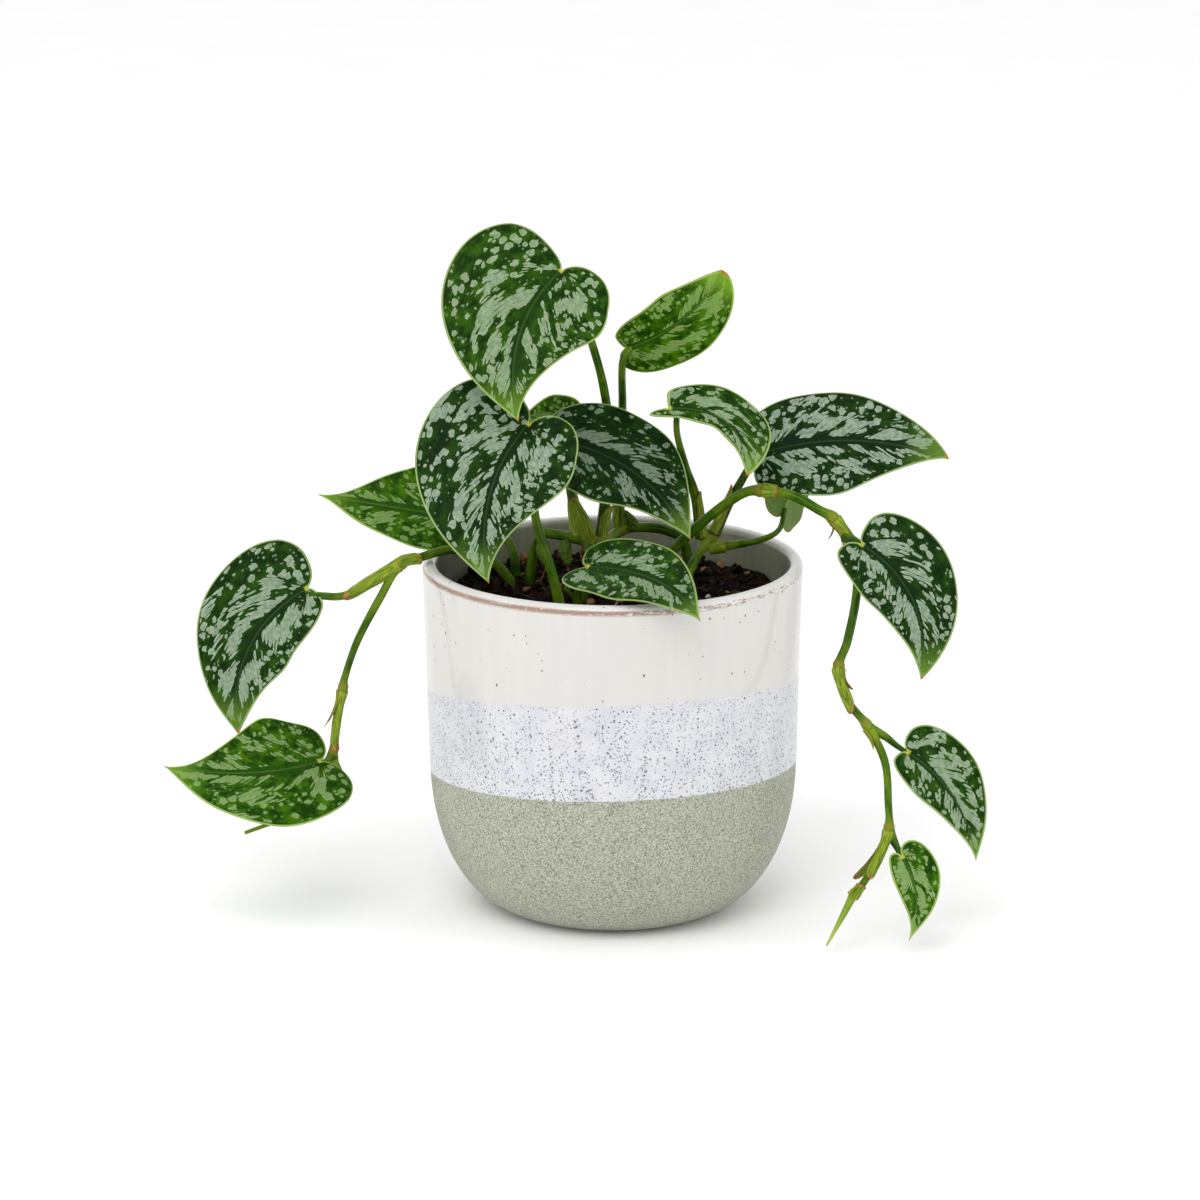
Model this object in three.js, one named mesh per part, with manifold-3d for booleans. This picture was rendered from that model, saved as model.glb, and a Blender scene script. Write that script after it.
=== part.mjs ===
// A satin pothos in a round ceramic pot with three glaze bands.
// Millimetres, +Z up. The origin is the centre of the pot's flat foot, on the surface it stands on.
// +X runs towards the large leaves at the right, and -Y is the front, where one leaf crosses the lip.

import * as THREE from 'three';
import { mergeVertices } from 'three/addons/utils/BufferGeometryUtils.js';
import Module from 'manifold-3d';

const wasm = await Module();
wasm.setup();

// ---------------------------------------------------------------- driving dimensions

const seatGap = 0.3;
const mergeDistance = 1e-4;

const potHeight = 112;
const potLipRadius = 60;
const potWaistRadius = 58.5;
const potFootRadius = 31;
const potWaistHeight = 47;
const potWall = 4.6;
const potFloor = 6;
const floorRadius = 28;
const potSectors = 48;
const footSteps = 8;
const floorSteps = 5;
const lipSteps = 6;

const soilLevel = 101;
const soilRadius = 54.4;
const soilRelief = 1.3;
const soilSeed = 11;
const soilSectors = 28;
const soilRingShares = [0.9, 0.74, 0.58, 0.42, 0.24];
const chipCount = 26;
const chipLengths = [2.5, 5.9];
const chipWidthShares = [0.4, 0.7];
const chipThicknessShare = 0.4;
const chipTilt = 0.45;
const chipSpread = 49;
const chipRise = 0.4;

const bladeThickness = 0.8;
const bladeDroop = 0.2;
const foldRounding = 0.03;
const lobeCorner = 0.42;
const sinusOpening = 0.07;
const sideSteps = 6;
const sideStepPower = 1.3;
const backSteps = 3;
const sinusSteps = 3;
const ringShares = [0.3, 0.56, 0.8, 1];

const stemSides = 7;
const stemStep = 4.2;
const stemFewestSteps = 3;
const stemTension = 0.5;
const stemEndRise = 0.2;
const nodeSwell = 0.6;
const nodeReach = 2.6;
const stalkTipRadius = 1.2;
const stalkFootRadius = 2;
const stalkFootPower = 2;
const stalkReach = 2;
const stalkSink = 0.2;

// ---------------------------------------------------------------- leaves
// notch is where the stalk joins and tip the far point. facing is the way the upper face looks, as
// degrees round from the front towards +X and degrees up. bow pushes the middle of the midrib to the
// left and up, and fold lifts the left and the right half, in degrees. left and right describe the
// halves: the half width, how far the lobe reaches back behind the notch, where the half is widest,
// as a share of the way to the tip, and how slim it runs out to the tip: 1 is plain, more is slimmer.

const leaves = [
  {
    name: 'high_left', notch: [-16, -4, 205], tip: [-29, -31, 163], facing: [0, 20],
    bow: [-7, 2], fold: [8, 10], left: [23, 6, 0.2, 1.4], right: [29, 3, 0.25, 1.1], tone: 'deep',
  },
  {
    name: 'high_right', notch: [4, 8, 178], tip: [34, -4, 205], facing: [30, 14],
    bow: [-3, 3], fold: [8, 4], left: [11, 1, 0.5, 0.8], right: [13, 4, 0.45, 0.5], tone: 'fresh',
  },
  {
    name: 'mid_left', notch: [-26, -20, 160], tip: [-38, -43, 115], facing: [-8, 22],
    bow: [-6, 3], fold: [8, 10], left: [22, 7, 0.22, 1.5], right: [28, 5, 0.22, 1.1], tone: 'deep',
  },
  {
    name: 'behind', notch: [-11, 20, 151], tip: [-33, 15, 150], facing: [0, 25],
    bow: [0, 1], fold: [8, 8], left: [10, 2, 0.25, 1.2], right: [10, 2, 0.25, 1.2], tone: 'fresh',
  },
  {
    name: 'centre', notch: [-16, 0, 150], tip: [24, -24, 124], facing: [15, 45],
    bow: [5, 3], fold: [8, 8], left: [19, 6, 0.3, 1.2], right: [19, 7, 0.28, 1.3], tone: 'deep',
  },
  {
    name: 'curled', notch: [17, -12, 163], tip: [41, -26, 145], facing: [5, 60],
    bow: [9, 2], fold: [8, 8], left: [12, 0, 0.55, 0.8], right: [5, 4, 0.4, 1], tone: 'deep',
  },
  {
    name: 'far_right', notch: [46, 4, 145], tip: [105, -4, 145], facing: [0, 38],
    bow: [4, 3], fold: [6, 6], left: [17, 3, 0.3, 0.8], right: [19, 3, 0.35, 1.4], tone: 'deep',
  },
  {
    name: 'young', notch: [53, 2, 126], tip: [64, 12, 140], facing: [-150, 10],
    bow: [0, 2], fold: [16, 16], left: [11, 3, 0.3, 1], right: [11, 3, 0.3, 1], tone: 'fresh',
  },
  {
    name: 'drooping_right', notch: [77, -21, 122], tip: [95, -38, 83], facing: [8, 24],
    bow: [7, 3], fold: [12, 8], left: [17, 2, 0.25, 0.9], right: [13, 4, 0.28, 1.1], tone: 'deep',
  },
  {
    name: 'vine_third', notch: [91, -42, 61], tip: [112, -53, 29], facing: [10, 18],
    bow: [4, 3], fold: [8, 8], left: [13, 3, 0.22, 1.1], right: [9, 2, 0.25, 1.3], tone: 'deep',
  },
  {
    name: 'vine_fourth', notch: [89, -54, 31], tip: [91, -62, 6], facing: [10, 15],
    bow: [3, 2], fold: [8, 8], left: [9, 3, 0.2, 1.4], right: [6, 2, 0.25, 1.6], tone: 'fresh',
  },
  {
    name: 'front', notch: [-8, -34, 118], tip: [26, -76, 112], facing: [4, 53],
    bow: [6, 1], fold: [18, 8], left: [13, 3, 0.25, 1.3], right: [15, 5, 0.3, 1.2], tone: 'deep',
  },
  {
    name: 'left_green', notch: [-43, 18, 120], tip: [-94, 20, 128], facing: [0, 45],
    bow: [2, 3], fold: [8, 8], left: [14, 5, 0.3, 1.2], right: [18, 7, 0.25, 1.7], tone: 'fresh',
  },
  {
    name: 'drooping_left', notch: [-96, -6, 104], tip: [-118, -16, 59], facing: [-20, 25],
    bow: [-8, 3], fold: [8, 8], left: [15, 2, 0.42, 1], right: [23, 4, 0.24, 1.1], tone: 'deep',
  },
  {
    name: 'lowest_left', notch: [-92, -22, 52], tip: [-140, -34, 54], facing: [-10, 46],
    bow: [6, 4], fold: [8, 8], left: [21, 5, 0.3, 1.1], right: [19, 5, 0.26, 1.7], tone: 'fresh',
  },
];

// ---------------------------------------------------------------- stems and leaf stalks
// A route is a list of points that the stem passes through. girth is the radius at its start and end,
// and nodes tells which points, counted from 0, are the swollen places where leaves come out. A stalk
// has neither: it names the leaf that it carries, whose notch comes before the first point, the stem
// that it grows from and, for a slim one, its radius under the leaf. A rooted stem stands in a hole in
// the potting mix.

const stems = [
  {
    name: 'creeping_stem', rooted: true, girth: [1.6, 1.6], nodes: [5, 7], route: [
      [-27, 14, 92], [-26, 14, 106], [-23, 13, 116], [-17, 11, 117], [-10, 8, 116], [-4, 8, 115],
      [0, 14, 116], [3, 19, 117], [9, 21, 117], [17, 21, 116], [23, 18, 112], [25, 17, 94],
    ],
  },
  {
    name: 'crown_stem', rooted: true, girth: [1.5, 1.6], nodes: [1], route: [
      [32, 8, 118], [30, 7, 116], [27, 2, 113], [24, -4, 109], [21, -8, 104], [20, -9, 94],
    ],
  },
  {
    name: 'right_vine', rooted: true, girth: [1.7, 1.1], nodes: [5, 8, 12, 14, 17, 20], route: [
      [12, -5, 92], [13, -4, 104], [18, -2, 114], [29, -2, 125], [40, -5, 134], [47, -8, 136],
      [56, -11, 135], [64, -13, 131], [69, -14, 128], [75, -15, 119], [76, -17, 106], [73, -24, 92],
      [70, -29, 84], [73, -35, 75], [79, -39, 68], [84, -43, 58], [85, -47, 46], [85, -50, 38],
      [82, -52, 30], [77, -54, 22], [74, -54, 18],
    ],
  },
  {
    name: 'left_vine', rooted: true, girth: [1.7, 0.6], nodes: [5, 9, 11], route: [
      [-30, 6, 92], [-31, 6, 100], [-38, 4, 110], [-50, 0, 115], [-61, -7, 114], [-67, -8, 112],
      [-73, -10, 102], [-80, -12, 89], [-84, -14, 78], [-85, -15, 73], [-87, -17, 62],
      [-88, -18, 53], [-86, -12, 43], [-93, -5, 34], [-104, -4, 28], [-117, -8, 24],
    ],
  },
  {
    name: 'furled_leaf', from: 'right_vine', girth: [1.4, 0.3], nodes: [], tone: 'fresh', route: [
      [74, -54, 18], [71, -55, 12], [66, -57, 3],
    ],
  },
  {
    name: 'petiole_high_left', from: 'creeping_stem', leaf: 'high_left', route: [
      [-12, 1, 196], [-5, 8, 174], [-2, 15, 158], [-1, 17, 145], [-2, 15, 131], [-4, 9, 116],
    ],
  },
  {
    name: 'petiole_high_right', from: 'creeping_stem', leaf: 'high_right', route: [
      [3, 9, 173], [3, 19, 158], [3, 22, 142], [2, 21, 127], [2, 18, 117],
    ],
  },
  {
    name: 'petiole_mid_left', rooted: true, leaf: 'mid_left', route: [
      [-26, -15, 147], [-24, -18, 129], [-20, -20, 116], [-17, -21, 104], [-16, -21, 94],
    ],
  },
  {
    name: 'petiole_behind', from: 'creeping_stem', leaf: 'behind', route: [
      [-11, 21, 143], [-13, 18, 130], [-12, 13, 121], [-11, 9, 116],
    ],
  },
  {
    name: 'petiole_centre', from: 'creeping_stem', leaf: 'centre', route: [
      [-14, 6, 142], [-13, 7, 130], [-9, 6, 122], [-7, 7, 115],
    ],
  },
  {
    name: 'petiole_left_green', rooted: true, leaf: 'left_green', route: [
      [-38, 20, 116], [-33, 17, 113], [-31, 13, 106], [-31, 13, 93],
    ],
  },
  {
    name: 'petiole_curled', from: 'crown_stem', leaf: 'curled', tipRadius: 1, route: [
      [20, -4, 153], [23, 5, 140], [26, 9, 130], [28, 7, 117],
    ],
  },
  {
    name: 'petiole_far_right', from: 'crown_stem', leaf: 'far_right', route: [
      [44, 8, 141], [40, 9, 134], [36, 10, 126], [32, 8, 118],
    ],
  },
  {
    name: 'petiole_young', from: 'crown_stem', leaf: 'young', tipRadius: 0.8, route: [
      [52, -3, 122], [46, 0, 118], [39, 3, 116], [31, 6, 114],
    ],
  },
  {
    name: 'petiole_front', rooted: true, leaf: 'front', route: [
      [-10, -30, 113], [-11, -28, 105], [-11, -28, 95],
    ],
  },
  {
    name: 'petiole_drooping_right', from: 'right_vine', leaf: 'drooping_right', route: [
      [75, -17, 122], [72, -15, 123],
    ],
  },
  {
    name: 'petiole_vine_third', from: 'right_vine', leaf: 'vine_third', tipRadius: 0.8, route: [
      [88, -39, 62], [84, -38, 65], [79, -39, 68],
    ],
  },
  {
    name: 'petiole_vine_fourth', from: 'right_vine', leaf: 'vine_fourth', tipRadius: 0.8, route: [
      [87, -50, 34], [85, -50, 38],
    ],
  },
  {
    name: 'petiole_drooping_left', from: 'left_vine', leaf: 'drooping_left', route: [
      [-91, -8, 102], [-84, -11, 103], [-76, -10, 107], [-67, -8, 112],
    ],
  },
  {
    name: 'petiole_lowest_left', from: 'left_vine', leaf: 'lowest_left', tipRadius: 0.8, route: [
      [-90, -19, 51], [-88, -18, 53],
    ],
  },
];

// ---------------------------------------------------------------- solids and meshes

function toSolid(geometry) {
  const bare = new THREE.BufferGeometry();
  bare.setAttribute('position', geometry.getAttribute('position'));
  bare.setIndex(geometry.getIndex());
  const merged = mergeVertices(bare, mergeDistance);
  return new wasm.Manifold(new wasm.Mesh({
    numProp: 3,
    vertProperties: Float32Array.from(merged.getAttribute('position').array),
    triVerts: Uint32Array.from(merged.getIndex().array),
  }));
}

function toGeometry(solid) {
  const mesh = solid.getMesh();
  const geometry = new THREE.BufferGeometry();
  geometry.setAttribute('position', new THREE.Float32BufferAttribute(mesh.vertProperties, 3));
  geometry.setIndex(Array.from(mesh.triVerts));
  geometry.computeVertexNormals();
  return geometry;
}

// The largest single body of a solid, without the crumbs that a cut may leave behind.
function largestBody(solid) {
  const bodies = solid.decompose();
  bodies.sort((a, b) => b.volume() - a.volume());
  return bodies[0];
}

function indexedGeometry(vertices, triangles) {
  const geometry = new THREE.BufferGeometry();
  const numbers = vertices.flatMap((v) => [v.x, v.y, v.z]);
  geometry.setAttribute('position', new THREE.Float32BufferAttribute(numbers, 3));
  geometry.setIndex(triangles.flat());
  geometry.computeVertexNormals();
  return geometry;
}

// Joins equal rings of points into one closed skin, with a point that closes each end.
function skinRings(rings, firstPole, lastPole) {
  const count = rings[0].length;
  const vertices = [firstPole, ...rings.flat(), lastPole];
  const last = vertices.length - 1;
  const triangles = [];
  for (let k = 0; k < count; k += 1) {
    const next = (k + 1) % count;
    triangles.push([0, 1 + next, 1 + k]);
    for (let ring = 0; ring + 1 < rings.length; ring += 1) {
      const low = 1 + ring * count;
      const high = low + count;
      triangles.push([low + k, low + next, high + next], [low + k, high + next, high + k]);
    }
    const top = 1 + (rings.length - 1) * count;
    triangles.push([last, top + k, top + next]);
  }
  return indexedGeometry(vertices, triangles);
}

// Repeatable random numbers from 0 to 1.
function seededRandom(seed) {
  let state = seed;
  return () => {
    state = (Math.imul(state, 1664525) + 1013904223) >>> 0;
    return state / 4294967296;
  };
}

// ---------------------------------------------------------------- pot

// Quarter curve from the flat bottom at footRadius up to the upright wall at wallRadius.
function footCurve(footRadius, wallRadius, bottom, top, steps) {
  const points = [];
  for (let k = 0; k <= steps; k += 1) {
    const angle = (k / steps) * Math.PI / 2;
    const radius = footRadius + (wallRadius - footRadius) * Math.sin(angle);
    points.push(new THREE.Vector2(radius, top - (top - bottom) * Math.cos(angle)));
  }
  return points;
}

function potGeometry() {
  const profile = [new THREE.Vector2(0, 0)];
  profile.push(...footCurve(potFootRadius, potWaistRadius, 0, potWaistHeight, footSteps));
  const lipRadius = potWall / 2;
  const lipCentre = new THREE.Vector2(potLipRadius - lipRadius, potHeight - lipRadius);
  for (let k = 0; k <= lipSteps; k += 1) {
    const angle = (k / lipSteps) * Math.PI;
    const offset = new THREE.Vector2(Math.cos(angle), Math.sin(angle)).multiplyScalar(lipRadius);
    profile.push(lipCentre.clone().add(offset));
  }
  const inside = footCurve(
    floorRadius, potWaistRadius - potWall, potFloor, potWaistHeight, floorSteps);
  profile.push(...inside.reverse(), new THREE.Vector2(0, potFloor));
  return new THREE.LatheGeometry(profile, potSectors).rotateX(Math.PI / 2);
}

// ---------------------------------------------------------------- potting mix

function ringOf(radius, height, sectors) {
  const ring = [];
  for (let k = 0; k < sectors; k += 1) {
    const angle = (k / sectors) * 2 * Math.PI;
    ring.push(new THREE.Vector3(radius * Math.cos(angle), radius * Math.sin(angle), height));
  }
  return ring;
}

function soilGeometry(random) {
  const waistRadius = potWaistRadius - potWall - seatGap;
  const lowest = potFloor + seatGap;
  const side = footCurve(floorRadius - seatGap, waistRadius, lowest, potWaistHeight, floorSteps);
  const rings = side.map((point) => ringOf(point.x, point.y, soilSectors));
  rings.push(ringOf(soilRadius, soilLevel - soilRelief, soilSectors));
  for (const share of soilRingShares) {
    const ring = ringOf(soilRadius * share, soilLevel, soilSectors);
    ring.forEach((point) => {
      point.z += soilRelief * (2 * random() - 1);
    });
    rings.push(ring);
  }
  return skinRings(rings, new THREE.Vector3(0, 0, lowest), new THREE.Vector3(0, 0, soilLevel));
}

// Bark chips half sunk in the surface, at any turn and tilt.
function chipSolids(random) {
  const chips = [];
  for (let k = 0; k < chipCount; k += 1) {
    const length = THREE.MathUtils.lerp(...chipLengths, random());
    const width = length * THREE.MathUtils.lerp(...chipWidthShares, random());
    const chip = new THREE.BoxGeometry(length, width, length * chipThicknessShare);
    chip.rotateX(chipTilt * (2 * random() - 1));
    chip.rotateY(chipTilt * (2 * random() - 1));
    chip.rotateZ(2 * Math.PI * random());
    const radius = chipSpread * Math.sqrt(random());
    const angle = 2 * Math.PI * random();
    chip.translate(radius * Math.cos(angle), radius * Math.sin(angle), soilLevel + chipRise);
    chips.push(toSolid(chip));
  }
  return chips;
}

function soilSolid(rootedStems) {
  const random = seededRandom(soilSeed);
  let soil = toSolid(soilGeometry(random));
  for (const chip of chipSolids(random)) {
    soil = soil.add(chip);
  }
  for (const stem of rootedStems) {
    soil = soil.subtract(toSolid(stemGeometry(stem, seatGap)));
  }
  return largestBody(soil);
}

// ---------------------------------------------------------------- leaf blades

// Half outline of a blade, from the tip round the side and the lobe to the notch: x towards the tip
// and y away from the midrib. The side is a sine raised to the power slim, the back a quarter of an
// ellipse, and the edge of the cleft between the lobes a parabola.
function halfOutline(length, [width, lobe, belly, slim]) {
  const widest = belly * length;
  const corner = lobeCorner * width;
  const points = [];
  for (let k = 0; k < sideSteps; k += 1) {
    const share = (k / sideSteps) ** sideStepPower;
    const y = width * Math.sin(share * Math.PI / 2) ** slim;
    points.push(new THREE.Vector2(length - (length - widest) * share, y));
  }
  for (let k = 0; k < backSteps; k += 1) {
    const angle = (k / backSteps) * Math.PI / 2;
    const y = corner + (width - corner) * Math.cos(angle);
    points.push(new THREE.Vector2(widest - (widest + lobe) * Math.sin(angle), y));
  }
  const cleft = new THREE.QuadraticBezierCurve(
    new THREE.Vector2(-lobe, corner), new THREE.Vector2(-lobe, sinusOpening * width),
    new THREE.Vector2(0, 0));
  points.push(...cleft.getPoints(sinusSteps));
  return points;
}

function leafFrame(leaf) {
  const notch = new THREE.Vector3(...leaf.notch);
  const along = new THREE.Vector3(...leaf.tip).sub(notch);
  const length = along.length();
  along.normalize();
  const [round, up] = leaf.facing.map(THREE.MathUtils.degToRad);
  const face = new THREE.Vector3(
    Math.sin(round) * Math.cos(up), -Math.cos(round) * Math.cos(up), Math.sin(up));
  face.addScaledVector(along, -face.dot(along)).normalize();
  return { notch, along, face, across: face.clone().cross(along), length };
}

// A point of the blade's middle surface. side is 1 on the left half and -1 on the right half. The
// midrib is a parabola from the notch to the tip that runs on straight behind the notch, and the
// blade is laid along it, square to it.
function bladePoint(leaf, frame, x, y, side) {
  const { length } = frame;
  const [bowLeft, bowUp] = leaf.bow;
  const share = x / length;
  const ahead = Math.max(share, 0);
  const rise = 4 * (share - ahead * ahead);
  const heading = Math.atan(bowLeft * 4 * (1 - 2 * ahead) / length);
  const fold = THREE.MathUtils.degToRad(side > 0 ? leaf.fold[0] : leaf.fold[1]);
  const rounding = foldRounding * length;
  const lift = Math.sqrt(y * y + rounding * rounding) - rounding;
  const out = side * y * Math.cos(fold);
  const upwards = bowUp * rise + Math.sin(fold) * lift - bladeDroop * y * y / length;
  return frame.notch.clone()
    .addScaledVector(frame.along, x - out * Math.sin(heading))
    .addScaledVector(frame.across, bowLeft * rise + out * Math.cos(heading))
    .addScaledVector(frame.face, upwards);
}

// The middle surface is a fan of rays from the notch to the outline, crossed by a few rings.
function bladeSurface(leaf) {
  const frame = leafFrame(leaf);
  const leftHalf = halfOutline(frame.length, leaf.left).slice(0, -1).reverse();
  const rightHalf = halfOutline(frame.length, leaf.right).slice(1, -1);
  const rays = [
    ...leftHalf.map((point) => [point.x, point.y, 1]),
    ...rightHalf.map((point) => [point.x, point.y, -1]),
  ];
  const vertices = [bladePoint(leaf, frame, 0, 0, 1)];
  for (const [x, y, side] of rays) {
    for (const share of ringShares) {
      vertices.push(bladePoint(leaf, frame, x * share, y * share, side));
    }
  }
  const rings = ringShares.length;
  const triangles = [];
  for (let ray = 0; ray + 1 < rays.length; ray += 1) {
    const here = 1 + ray * rings;
    const next = here + rings;
    triangles.push([0, next, here]);
    for (let ring = 0; ring + 1 < rings; ring += 1) {
      const [a, b, c, d] = [here + ring, here + ring + 1, next + ring, next + ring + 1];
      triangles.push([a, c, d], [a, d, b]);
    }
  }
  return indexedGeometry(vertices, triangles);
}

// Edges that only one triangle uses, in that triangle's direction.
function boundaryEdges(triangles) {
  const edges = new Map();
  for (const [a, b, c] of triangles) {
    for (const [from, to] of [[a, b], [b, c], [c, a]]) {
      if (edges.has(`${to},${from}`)) {
        edges.delete(`${to},${from}`);
      } else {
        edges.set(`${from},${to}`, [from, to]);
      }
    }
  }
  return [...edges.values()];
}

// A blade of the given thickness, with its rim moved outwards by margin.
function bladeGeometry(leaf, thickness, margin = 0) {
  const surface = bladeSurface(leaf);
  const position = surface.getAttribute('position');
  const normal = surface.getAttribute('normal');
  const flatIndex = Array.from(surface.getIndex().array);
  const triangles = [];
  for (let k = 0; k < flatIndex.length; k += 3) {
    triangles.push(flatIndex.slice(k, k + 3));
  }
  const pointAt = (attribute, k) => new THREE.Vector3().fromBufferAttribute(attribute, k);
  const rim = boundaryEdges(triangles);
  const outwards = Array.from({ length: position.count }, () => new THREE.Vector3());
  for (const [from, to] of rim) {
    const edge = pointAt(position, to).sub(pointAt(position, from)).normalize();
    outwards[from].add(edge.clone().cross(pointAt(normal, from)));
    outwards[to].add(edge.clone().cross(pointAt(normal, to)));
  }
  for (const k of [0, ...ringShares.keys()]) {
    outwards[k + 1].setScalar(0);
    outwards[position.count - 1 - k].setScalar(0);
  }
  const shifted = (distance) => outwards.map((outward, k) => pointAt(position, k)
    .addScaledVector(pointAt(normal, k), distance)
    .addScaledVector(outward.clone().normalize(), margin));
  const under = position.count;
  const solid = [...triangles, ...triangles.map(([a, b, c]) => [c + under, b + under, a + under])];
  for (const [from, to] of rim) {
    solid.push([to, from, from + under], [to, from + under, to + under]);
  }
  return indexedGeometry([...shifted(thickness / 2), ...shifted(-thickness / 2)], solid);
}

// ---------------------------------------------------------------- stems

function tipRadius(stalk) {
  return stalk.tipRadius ?? stalkTipRadius;
}

// A stem's points. A stalk's first one lies just under the notch of the blade that it carries.
function fullRoute(stem) {
  const route = stem.route.map((point) => new THREE.Vector3(...point));
  if (stem.leaf) {
    const leaf = leaves.find((other) => other.name === stem.leaf);
    const frame = leafFrame(leaf);
    const depth = bladeThickness / 2 + seatGap + tipRadius(stem) - stalkSink;
    route.unshift(bladePoint(leaf, frame, stalkReach, 0, 1).addScaledVector(frame.face, -depth));
  }
  return route;
}

// Radius at a share of the way along a stem. A stalk widens towards its foot, and a stem swells
// round each of its nodes, which are given as points.
function stemRadius(stem, nodePoints, share, centre) {
  if (stem.leaf) {
    return THREE.MathUtils.lerp(tipRadius(stem), stalkFootRadius, share ** stalkFootPower);
  }
  let radius = THREE.MathUtils.lerp(...stem.girth, share);
  for (const node of nodePoints) {
    radius += nodeSwell * Math.exp(-((centre.distanceTo(node) / nodeReach) ** 2));
  }
  return radius;
}

// A round tube along a route, with its own radius at each step, closed at both ends.
function stemGeometry(stem, extraRadius = 0) {
  const route = fullRoute(stem);
  const nodePoints = (stem.nodes ?? []).map((k) => route[k]);
  const spine = new THREE.CatmullRomCurve3(route, false, 'catmullrom', stemTension);
  const steps = Math.max(stemFewestSteps, Math.round(spine.getLength() / stemStep));
  const overruns = Array(steps + 1).fill(0);
  overruns[0] = -extraRadius;
  overruns[steps] = extraRadius;
  const rings = [];
  let side = new THREE.Vector3(1, 0.3, 0);
  for (let step = 0; step <= steps; step += 1) {
    const t = spine.getUtoTmapping(step / steps);
    const ahead = spine.getTangent(t);
    const centre = spine.getPoint(t).addScaledVector(ahead, overruns[step]);
    side = side.clone().addScaledVector(ahead, -side.dot(ahead)).normalize();
    const other = ahead.clone().cross(side);
    const radius = stemRadius(stem, nodePoints, step / steps, centre) + extraRadius;
    const ring = [];
    for (let k = 0; k < stemSides; k += 1) {
      const angle = (k / stemSides) * 2 * Math.PI;
      ring.push(centre.clone()
        .addScaledVector(side, radius * Math.cos(angle))
        .addScaledVector(other, radius * Math.sin(angle)));
    }
    rings.push(ring);
  }
  const rise = extraRadius + stemEndRise;
  const first = spine.getPoint(0).addScaledVector(spine.getTangent(0), -rise);
  const last = spine.getPoint(1).addScaledVector(spine.getTangent(1), rise);
  return skinRings(rings, first, last);
}

// A stalk ends a seat gap short of the stem that it grows from and of the blade that it carries.
function stemSolid(stem) {
  let solid = toSolid(stemGeometry(stem));
  if (stem.from) {
    const parent = stems.find((other) => other.name === stem.from);
    solid = solid.subtract(toSolid(stemGeometry(parent, seatGap)));
  }
  if (stem.leaf) {
    const leaf = leaves.find((other) => other.name === stem.leaf);
    solid = solid.subtract(toSolid(bladeGeometry(leaf, bladeThickness + 2 * seatGap, 2 * seatGap)));
  }
  return largestBody(solid);
}

// ---------------------------------------------------------------- assembly

const finishes = {
  glaze: { color: 0xe9e7e1, roughness: 0.25 },
  mix: { color: 0x2a1d14, roughness: 0.95 },
  deep: { color: 0x2c5230, roughness: 0.45 },
  fresh: { color: 0x4f8a2a, roughness: 0.45 },
  stem: { color: 0x4d7a26, roughness: 0.5 },
};

const plant = new THREE.Group();

function addPiece(name, geometry, finish) {
  const material = new THREE.MeshStandardMaterial({ ...finishes[finish], metalness: 0 });
  const mesh = new THREE.Mesh(geometry, material);
  mesh.name = name;
  plant.add(mesh);
}

addPiece('pot', potGeometry(), 'glaze');
addPiece('potting_mix', toGeometry(soilSolid(stems.filter((stem) => stem.rooted))), 'mix');
for (const stem of stems) {
  addPiece(stem.name, toGeometry(stemSolid(stem)), stem.tone ?? 'stem');
}
for (const leaf of leaves) {
  addPiece(`blade_${leaf.name}`, bladeGeometry(leaf, bladeThickness), leaf.tone);
}

export default plant;
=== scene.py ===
# %% [markdown]
# # A satin pothos in a banded ceramic pot
# The solid model already holds every leaf, stem and the pot at its true place. Each of them now gets
# the finer surface that the eye sees: silver splashes on satin leaves, papery sheaths on the stems,
# loose bark in the pot, and bands of sandy clay and two glazes round it.

# %% The solid model
import math
import bpy
import numpy as np
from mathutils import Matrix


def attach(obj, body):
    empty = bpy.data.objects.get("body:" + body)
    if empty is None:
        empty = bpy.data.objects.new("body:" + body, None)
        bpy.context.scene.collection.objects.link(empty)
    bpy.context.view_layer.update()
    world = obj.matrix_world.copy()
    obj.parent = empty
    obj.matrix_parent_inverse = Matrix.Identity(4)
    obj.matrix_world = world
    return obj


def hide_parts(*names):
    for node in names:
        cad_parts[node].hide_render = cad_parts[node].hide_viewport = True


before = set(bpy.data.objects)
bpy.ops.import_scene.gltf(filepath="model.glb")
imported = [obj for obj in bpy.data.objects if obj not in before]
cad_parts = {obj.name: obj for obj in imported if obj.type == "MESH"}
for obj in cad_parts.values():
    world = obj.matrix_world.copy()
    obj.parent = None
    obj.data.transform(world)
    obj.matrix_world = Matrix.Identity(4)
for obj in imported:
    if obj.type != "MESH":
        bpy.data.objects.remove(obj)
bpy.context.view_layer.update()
mm = 0.001

# %% [markdown]
# ## Camera
# A long lens from a step and a half away keeps the pot's sides nearly upright. It looks down by
# about fifteen degrees, so that the lip shows as a flat oval and the potting mix can be seen.

# %% Camera
camera_fall = math.radians(14.8)
camera_distance = 1.5
camera_aim = np.array([-4.1, 0, 98.5]) * mm
camera_data = bpy.data.cameras.new("camera")
camera_data.lens = 142.5
camera_data.sensor_width = 36
camera_data.clip_end = 30
camera = bpy.data.objects.new("camera", camera_data)
back_off = np.array([0, -math.cos(camera_fall), math.sin(camera_fall)]) * camera_distance
camera.location = camera_aim + back_off
camera.rotation_euler = (math.pi / 2 - camera_fall, 0, 0)
bpy.context.collection.objects.link(camera)
bpy.context.scene.camera = camera
print("camera at", tuple(round(v, 3) for v in camera.location))

# %% [markdown]
# ## Meshes from arrays
# Every surface here is a grid of points, worked out for the whole grid at once. The helpers count
# out the corners of a grid's quads, close a stack of rings at both ends, carry a profile round an
# axis, and make the object. Two more draw a smooth curve and ease a step.

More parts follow.
